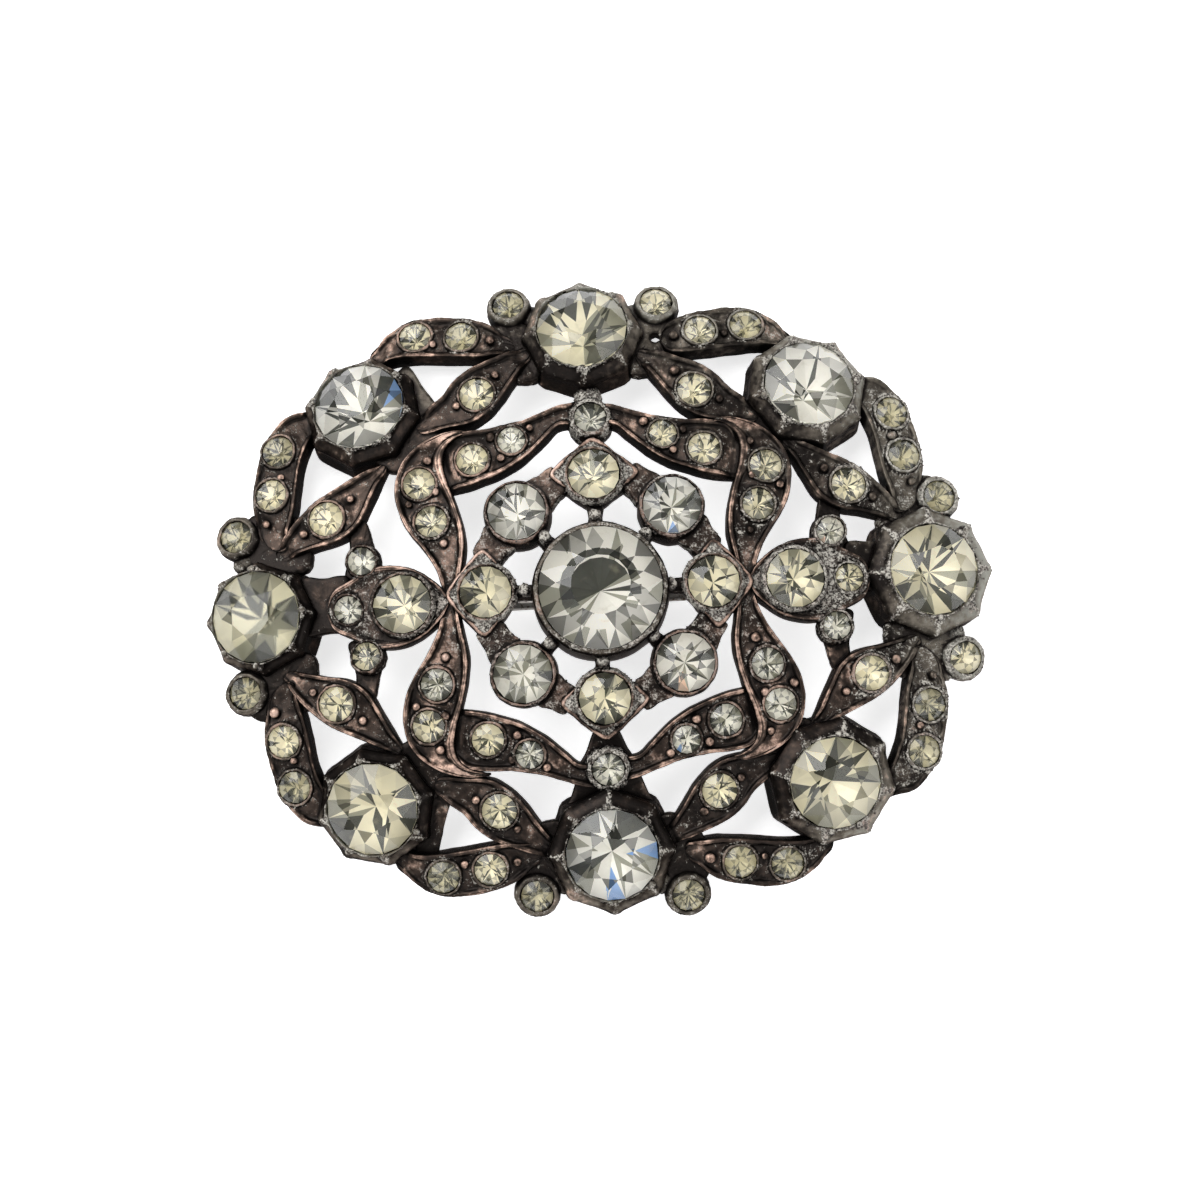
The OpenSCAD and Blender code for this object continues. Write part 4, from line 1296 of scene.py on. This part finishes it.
def make_trefoils():
    """The two trefoils with their collets, side webs and bars."""
    metal = Metal()
    for k, sign in enumerate((1, -1)):
        drift = TREFOIL_DRIFT[k]
        main = cut_stones(f"trefoil_stone_{k + 1}")[0]
        c = (TREFOIL_MIDDLE * sign + drift[0], drift[1])
        shares = np.linspace(0, 1, LEAF_STEPS + 1)
        north = along(TREFOIL_EDGE, shares)
        outer = in_sheet(north * (sign, 1) + drift, c)
        inner = in_sheet(north * (sign, -1) + drift, c)
        place = on_dome(c)
        sides = [cut_stones(f"trefoil_side_stone_{3 * k + j + 1}")[0] for j in range(3)]
        stones = [(*(place.inverted() @ Vector(centre)).xy, r) for centre, _, r in (main, *sides)]
        rings, marks = [], []
        for j, t in enumerate(shares):
            wide = float(np.linalg.norm(inner[j] - outer[j]))
            if wide < 0.25:
                continue
            deep = 0.8 * float(smooth(0.03, 0.2, t) * (1 - smooth(0.8, 1, t)))
            section = leaf_section(wide, (0.45, 0.45), RIM_TOP - 0.03 - (TROUGH - 0.1) * deep, RIM_TOP)
            flat = outer[j] + np.outer(section[:, 0], (inner[j] - outer[j]) / wide)
            crusted = section[:, 3] + 0.3 * (section[:, 1] > 0.1)
            height, crust = under_stones(flat, section[:, 1], crusted, RIM_TOP, stones)
            rings.append(np.c_[flat, height])
            marks.append(np.stack([section[:, 2], crust, 0 * crust], 1))
        metal.shell(place, rings, marks)
        round_collet(
            metal, at_stone(main), main[2], 0.34, SHEET_BELOW + HALO_LIFT, LIP, f"trefoil {k}",
            rim=(0.5, 0.9, 0.2), side=(0.3, 0.8, 0.1),
        )
        for j, stone in enumerate(sides):
            round_collet(
                metal, at_stone(stone), stone[2], 0.32, SHEET_BELOW + SMALL_LIFT, LIP, f"side {k}{j}",
                rim=(0.5, 0.85, 0.2), side=(0.3, 0.6, 0.1),
            )
        for side in (-1, 1):
            web = [(x * sign + drift[0], y * side + drift[1]) for x, y in TREFOIL_WEB]
            slab(metal, web, c, WEB_TOP - 0.4, (0.25, 0.4, 0))
        low, high = BAR_EDGES[k]
        half = (high - low) / 2
        ends = [np.array((x * sign + drift[0], (high + low) / 2)) for x in BAR_ENDS]
        bar(metal, *ends, half - 0.2, half - 0.1, WEB_TOP, (0.05, 0.45, 0))
    keep("trefoils", metal)


def make_webs():
    """The webs of sheet that join the cups to the leaves."""
    metal = Metal()
    for q, (sx, sy) in enumerate(QUARTERS):
        for web in (WEB_NORTH, WEB_EAST, WEB_CORNER):
            drawn = [(x * sx, y * sy) for x, y in web]
            hole = (*WEB_HOLE, WEB_HOLE_R) if web is WEB_NORTH and q == 0 else None
            slab(metal, drawn, mean(drawn), WEB_TOP, (0.1, 0.62, 0.05), hole)
    keep("webs", metal)


def make_stones():
    """The cut stones, each node's in one piece."""
    clear = Look(CLEAR_GLASS, BRIGHT_FOIL, PALE, (0.99, 0.98, 0.94), 0.04, 0.12, CLEAR_LIGHT)
    creamy = Look(CLEAR_GLASS, DULLED_FOIL, CREAM, (0.99, 0.97, 0.88), calm=0.08)
    clouded = Look(CLOUDED_GLASS, DULLED_FOIL, CREAM, (0.92, 0.91, 0.8))
    small_clear = Look(CLEAR_GLASS, DULLED_FOIL, PALE, (0.9, 0.89, 0.82), 0.015, 0.2, PETAL_LIGHT)
    small_creamy = Look(CLEAR_GLASS, DULLED_FOIL, CREAM, (0.92, 0.89, 0.78), 0, 0.28, PETAL_LIGHT)
    small_clouded = Look(CLOUDED_GLASS, DULLED_FOIL, CREAM, (0.6, 0.575, 0.45), 0, 0.2, PETAL_LIGHT)
    inner_creamy = Look(CLEAR_GLASS, DULLED_FOIL, CREAM, (0.96, 0.93, 0.81), 0, 0.42, PETAL_LIGHT)
    halo_clear = Look(CLEAR_GLASS, BRIGHT_FOIL, PALE, (0.99, 0.98, 0.94), 0.03, 0.1, CLEAR_LIGHT)
    halo_bright = Look(CLEAR_GLASS, BRIGHT_FOIL, PALE, (0.99, 0.98, 0.94), 0.03, 0.2, CLEAR_LIGHT)
    halo_creamy = Look(CLEAR_GLASS, DULLED_FOIL, CREAM, (0.99, 0.97, 0.88), 0, 0.28)
    sparkling = Look(CLEAR_GLASS, BRIGHT_FOIL, PALE, (0.99, 0.98, 0.95), 0.03, 0, SPARK_LIGHT, (0.78, 0.76))
    stone_piece("centre_brilliant", "centre_stone", [sparkling], fold=16, low=0.66, heart=0.52)
    rim = (creamy, clear, creamy, creamy, clear, creamy, clouded, clear)
    for k in range(8):
        stone_piece(f"rim_brilliant_{k + 1}", f"rim_stone_{k + 1}", [rim[k]])
    halo = (halo_creamy, halo_bright) + (halo_creamy, halo_clear) * 3
    for k in range(8):
        stone_piece(f"halo_brilliant_{k + 1}", f"halo_stone_{k + 1}", [halo[k]])
    mixed = [small_clear, small_creamy, small_creamy]
    dull = [small_clouded, small_clouded, small_creamy]
    groups = (
        ("link", 2, [small_clear]), ("trefoil", 2, [creamy]), ("trefoil_side", 6, mixed), ("flank", 8, dull),
    )
    for group, count, looks in groups:
        for k in range(count):
            stone_piece(f"{group}_brilliant_{k + 1}", f"{group}_stone_{k + 1}", looks)
    stone_piece("scroll_brilliants", "scroll_stones", mixed)
    stone_piece("rim_leaf_brilliants", "rim_leaf_stones", dull, east=small_clouded)
    stone_piece("inner_leaf_brilliants", "inner_leaf_stones", [inner_creamy])


# Crumbs of solder and dirt

def crumb_tree():
    """Scatters crumbs over a mesh where its finish says that it is crusted."""
    tree = bpy.data.node_groups.new("crumbs", "GeometryNodeTree")
    sockets = (
        ("Geometry", "NodeSocketGeometry"), ("Crumbs per square metre", "NodeSocketFloat"),
        ("Smallest", "NodeSocketFloat"), ("Largest", "NodeSocketFloat"), ("Seed", "NodeSocketInt"),
    )
    for name, kind in sockets:
        tree.interface.new_socket(name, in_out="INPUT", socket_type=kind)
    tree.interface.new_socket("Geometry", in_out="OUTPUT", socket_type="NodeSocketGeometry")
    n = Nodes(tree)
    start = tree.nodes.new("NodeGroupInput")
    bed, often, smallest, largest, seed = [Value(n, start.outputs[name]) for name, _ in sockets]
    colour = {"data_type": "FLOAT_COLOR"}
    finish = n.add("GeometryNodeInputNamedAttribute", colour, {"Name": "finish"}, "Attribute")
    crust = n.add("FunctionNodeSeparateColor", {}, {0: finish}, 1)
    thick = n.add("ShaderNodeMapRange", {}, {0: crust, 1: CRUMB_CRUST[0], 2: CRUMB_CRUST[1]})
    spread = {"Mesh": bed, "Density": thick * often, "Seed": seed}
    spots = n.add("GeometryNodeDistributePointsOnFaces", {}, spread, "Points")
    ball = n.add("GeometryNodeMeshIcoSphere", {}, {"Radius": 1, "Subdivisions": 1}, "Mesh")
    size = n.add("FunctionNodeRandomValue", {"data_type": "FLOAT"}, {2: smallest, 3: largest}, 1)
    turn = n.add("FunctionNodeRandomValue", {"data_type": "FLOAT_VECTOR"}, {1: (6.28, 6.28, 6.28)})
    crumbs = {"Points": spots, "Instance": ball, "Rotation": turn, "Scale": size}
    placed = n.add("GeometryNodeInstanceOnPoints", {}, crumbs)
    real = n.add("GeometryNodeRealizeInstances", {}, {0: placed})
    painted = n.add("GeometryNodeSetMaterial", {}, {"Geometry": real, "Material": CRUMB_METAL})
    n.feed(tree.nodes.new("NodeGroupOutput").inputs[0], painted)
    return tree


CRUMB_METAL = crumb_metal()
CRUMBS = {"Crumbs per square metre": 2.2e7, "Smallest": 0.03 * MM, "Largest": 0.11 * MM, "Seed": 7}
# How crusted metal is where crumbs begin, and where they are thickest
CRUMB_CRUST = (0.6, 1)


def make_crumbs():
    """One piece of crumbs, scattered over a bed joined from the metal pieces."""
    work = bmesh.new()
    for piece in METAL_PIECES:
        work.from_mesh(piece.data)
    bed_mesh = bpy.data.meshes.new("crumb_bed")
    work.to_mesh(bed_mesh)
    work.free()
    bed = bpy.data.objects.new("crumb_bed", bed_mesh)
    bpy.context.scene.collection.objects.link(bed)
    tree = crumb_tree()
    modifier = bed.modifiers.new("crumbs", "NODES")
    modifier.node_group = tree
    for item in tree.interface.items_tree:
        if item.in_out == "INPUT" and item.name in CRUMBS:
            modifier[item.identifier] = CRUMBS[item.name]
    bpy.context.view_layer.update()
    evaluated = bed.evaluated_get(bpy.context.evaluated_depsgraph_get())
    mesh = bpy.data.meshes.new_from_object(evaluated)
    mesh.name = "solder_crumbs"
    bpy.data.objects.remove(bed)
    shown("solder_crumbs", mesh, ["setting"], [])


# The pin at the back

def box_ring(x, y, corner):
    """A rounded rectangle of half sizes x and y."""
    points = []
    for sx, sy, start in ((1, 1, 0), (-1, 1, 90), (-1, -1, 180), (1, -1, 270)):
        for k in range(5):
            a = math.radians(start + 22.5 * k)
            across = sx * (x - corner) + corner * math.cos(a)
            points.append((across, sy * (y - corner) + corner * math.sin(a), 0))
    return np.array(points)


def rounded_block(metal, place, x, y, z):
    """A block of half sizes x, y and z with softened edges."""
    levels = ((0.12, -z), (0.03, -z + 0.04), (0, -z + 0.12), (0, z - 0.12), (0.03, z - 0.04), (0.12, z))
    rings = [box_ring(x - inset, y - inset, 0.2) + (0, 0, height) for inset, height in levels]
    metal.shell(place, rings, (0, 0, 0))


def turned_part(metal, place, profile):
    """A round part from radii and heights."""
    metal.shell(place, [ring_of(r, TURN, z) for r, z in profile], (0, 0, 0))


def mirrored(half):
    """A profile whose second half mirrors its first, which lies below its middle."""
    return [*half, *((r, -z) for r, z in reversed(half))]


# Radii of a pad of the pin and how far down each is, and half the profiles of the barrel and of the catch
PAD = ((1.5, 0.6), (1.66, 0.55), (1.7, 0.45), (1.7, 0.1), (1.62, 0.01), (1.5, 0))
BARREL = mirrored((
    (0.9, -1.5), (1.15, -1.42), (1.2, -1.3), (1.2, -0.56), (1.1, -0.5), (1.1, -0.44), (1.2, -0.38),
))
CATCH = mirrored(((0.95, -0.9), (1.14, -0.84), (1.2, -0.7)))
# Half the width of the posts that carry the hinge and the catch
POST_HALF = 0.9
# Edges of the pin sharper than this many degrees aren't smoothed
SHARP_EDGE = 40


def make_pin():
    """The pin, closed in its catch: two pads under the trefoils, a hinge block, a catch and the pin."""
    metal = Metal()
    ends = []
    for k, sign in enumerate((1, -1)):
        c = (TREFOIL_MIDDLE * sign + TREFOIL_DRIFT[k][0], TREFOIL_DRIFT[k][1])
        ends.append(c)
        top = -SHEET_BELOW - SEAT_GAP
        turned_part(metal, on_dome(c), [(r, top - down) for r, down in PAD])
        high = on_dome(c).translation.z - SHEET_BELOW - SEAT_GAP - 0.3
        post = Matrix.Translation((*c, (high + PIN_Z) / 2))
        rounded_block(metal, post, POST_HALF, POST_HALF, (high - PIN_Z) / 2)
    (east_x, east_y), (west_x, west_y) = ends
    lying = Matrix.Rotation(math.pi / 2, 4, "X")
    turned_part(metal, Matrix.Translation((west_x, west_y, PIN_Z)) @ lying, BARREL)
    flat = Matrix.Rotation(math.pi / 2, 4, "Y")
    turned_part(metal, Matrix.Translation((east_x, east_y, PIN_Z)) @ flat, CATCH)
    length = east_x - west_x
    needle = [
        (PIN_R, 0), (PIN_R, 2), (PIN_R, length * 0.5), (PIN_R, length), (PIN_R * 0.8, length + 0.9),
        (PIN_R * 0.5, length + 1.7), (PIN_R * 0.25, length + 2.2),
    ]
    turned_part(metal, Matrix.Translation((west_x, (east_y + west_y) / 2, PIN_Z)) @ flat, needle)
    mesh = mesh_of("pin_and_catch", np.vstack(metal.points), metal.faces)
    shown("pin_and_catch", mesh, ["pin_clasp"], [pin_steel()])
    mesh.set_sharp_from_angle(angle=math.radians(SHARP_EDGE))


# Ground, light and camera

# Half the width of the ground, in metres
GROUND = 1.0


def make_ground():
    mesh = bpy.data.meshes.new("ground")
    corners = [(-GROUND, -GROUND, 0), (GROUND, -GROUND, 0), (GROUND, GROUND, 0), (-GROUND, GROUND, 0)]
    mesh.from_pydata(corners, [], [(0, 1, 2, 3)])
    ground = bpy.data.objects.new("ground", mesh)
    bpy.context.scene.collection.objects.link(ground)
    mesh.materials.append(paper())


# Soft panels aimed at the brooch: name, place and size in metres, and watts
LAMPS = (
    ("key", (-0.28, 0.28, 0.42), (0.6, 0.6), 5),
    ("fill", (0.45, -0.1, 0.35), (0.5, 0.5), 1.2),
    ("low", (-0.1, -0.5, 0.3), (0.5, 0.4), 1),
)


def make_lamps():
    for name, place, size, watts in LAMPS:
        light = bpy.data.lights.new(name, "AREA")
        light.shape = "RECTANGLE"
        light.size, light.size_y = size
        light.energy = watts
        lamp = bpy.data.objects.new(name, light)
        bpy.context.scene.collection.objects.link(lamp)
        lamp.location = place
        lamp.rotation_euler = (-Vector(place)).to_track_quat("-Z", "Y").to_euler()


# Brightness of the room by height, from straight down to straight up: a lit band with a darker ceiling
ROOM = ((0, 0.27), (0.35, 0.3), (0.55, 1.3), (0.75, 1.3), (0.9, 0.2), (1, 0.07))


def make_room():
    world = bpy.data.worlds.new("studio")
    bpy.context.scene.world = world
    world.use_nodes = True
    tree = world.node_tree
    place = tree.nodes.new("ShaderNodeTexCoord")
    split = tree.nodes.new("ShaderNodeSeparateXYZ")
    ramp = tree.nodes.new("ShaderNodeValToRGB")
    tree.links.new(place.outputs["Generated"], split.inputs[0])
    tree.links.new(split.outputs[2], ramp.inputs[0])
    tree.links.new(ramp.outputs[0], tree.nodes["Background"].inputs["Color"])
    stops = ramp.color_ramp.elements
    while len(stops) < len(ROOM):
        stops.new(0.5)
    for stop, (height, level) in zip(stops, ROOM):
        stop.position = height
        stop.color = (level, level, level, 1)


# The photograph's frame: its pixels, the brooch's middle in it, and pixels to a millimetre
IMAGE = 1200
MIDDLE = (597.66, 589.73)
PIXELS_PER_MM = 14
# The camera: its angles in radians, how far it stands from the top of the dome, and its sensor's width
TILT_X, TILT_Y, SPIN = -0.1566, -0.005, 0.0595
DISTANCE = 235.7
SENSOR = 36


def make_camera():
    turn = Matrix.Rotation(TILT_X, 3, "X") @ Matrix.Rotation(TILT_Y, 3, "Y") @ Matrix.Rotation(SPIN, 3, "Z")
    back = turn.transposed()
    camera = bpy.data.cameras.new("camera")
    camera.sensor_width = SENSOR
    camera.lens = PIXELS_PER_MM * DISTANCE / IMAGE * SENSOR
    camera.shift_x = (IMAGE / 2 - MIDDLE[0]) / IMAGE
    camera.shift_y = (MIDDLE[1] - IMAGE / 2) / IMAGE
    camera.clip_start = 0.005
    holder = bpy.data.objects.new("camera", camera)
    bpy.context.scene.collection.objects.link(holder)
    matrix = back.to_4x4()
    matrix.translation = (back @ Vector((0, 0, DISTANCE)) + Vector((0, 0, DOME_TOP))) * MM
    holder.matrix_world = matrix
    bpy.context.scene.camera = holder


make_rim_cups()
make_halo()
make_links_and_flanks()
make_leaves()
make_trefoils()
make_webs()
gather_soot(METAL_PIECES)
make_crumbs()
make_stones()
make_pin()
make_ground()
make_lamps()
make_room()
make_camera()
bpy.context.scene.view_settings.view_transform = "Standard"
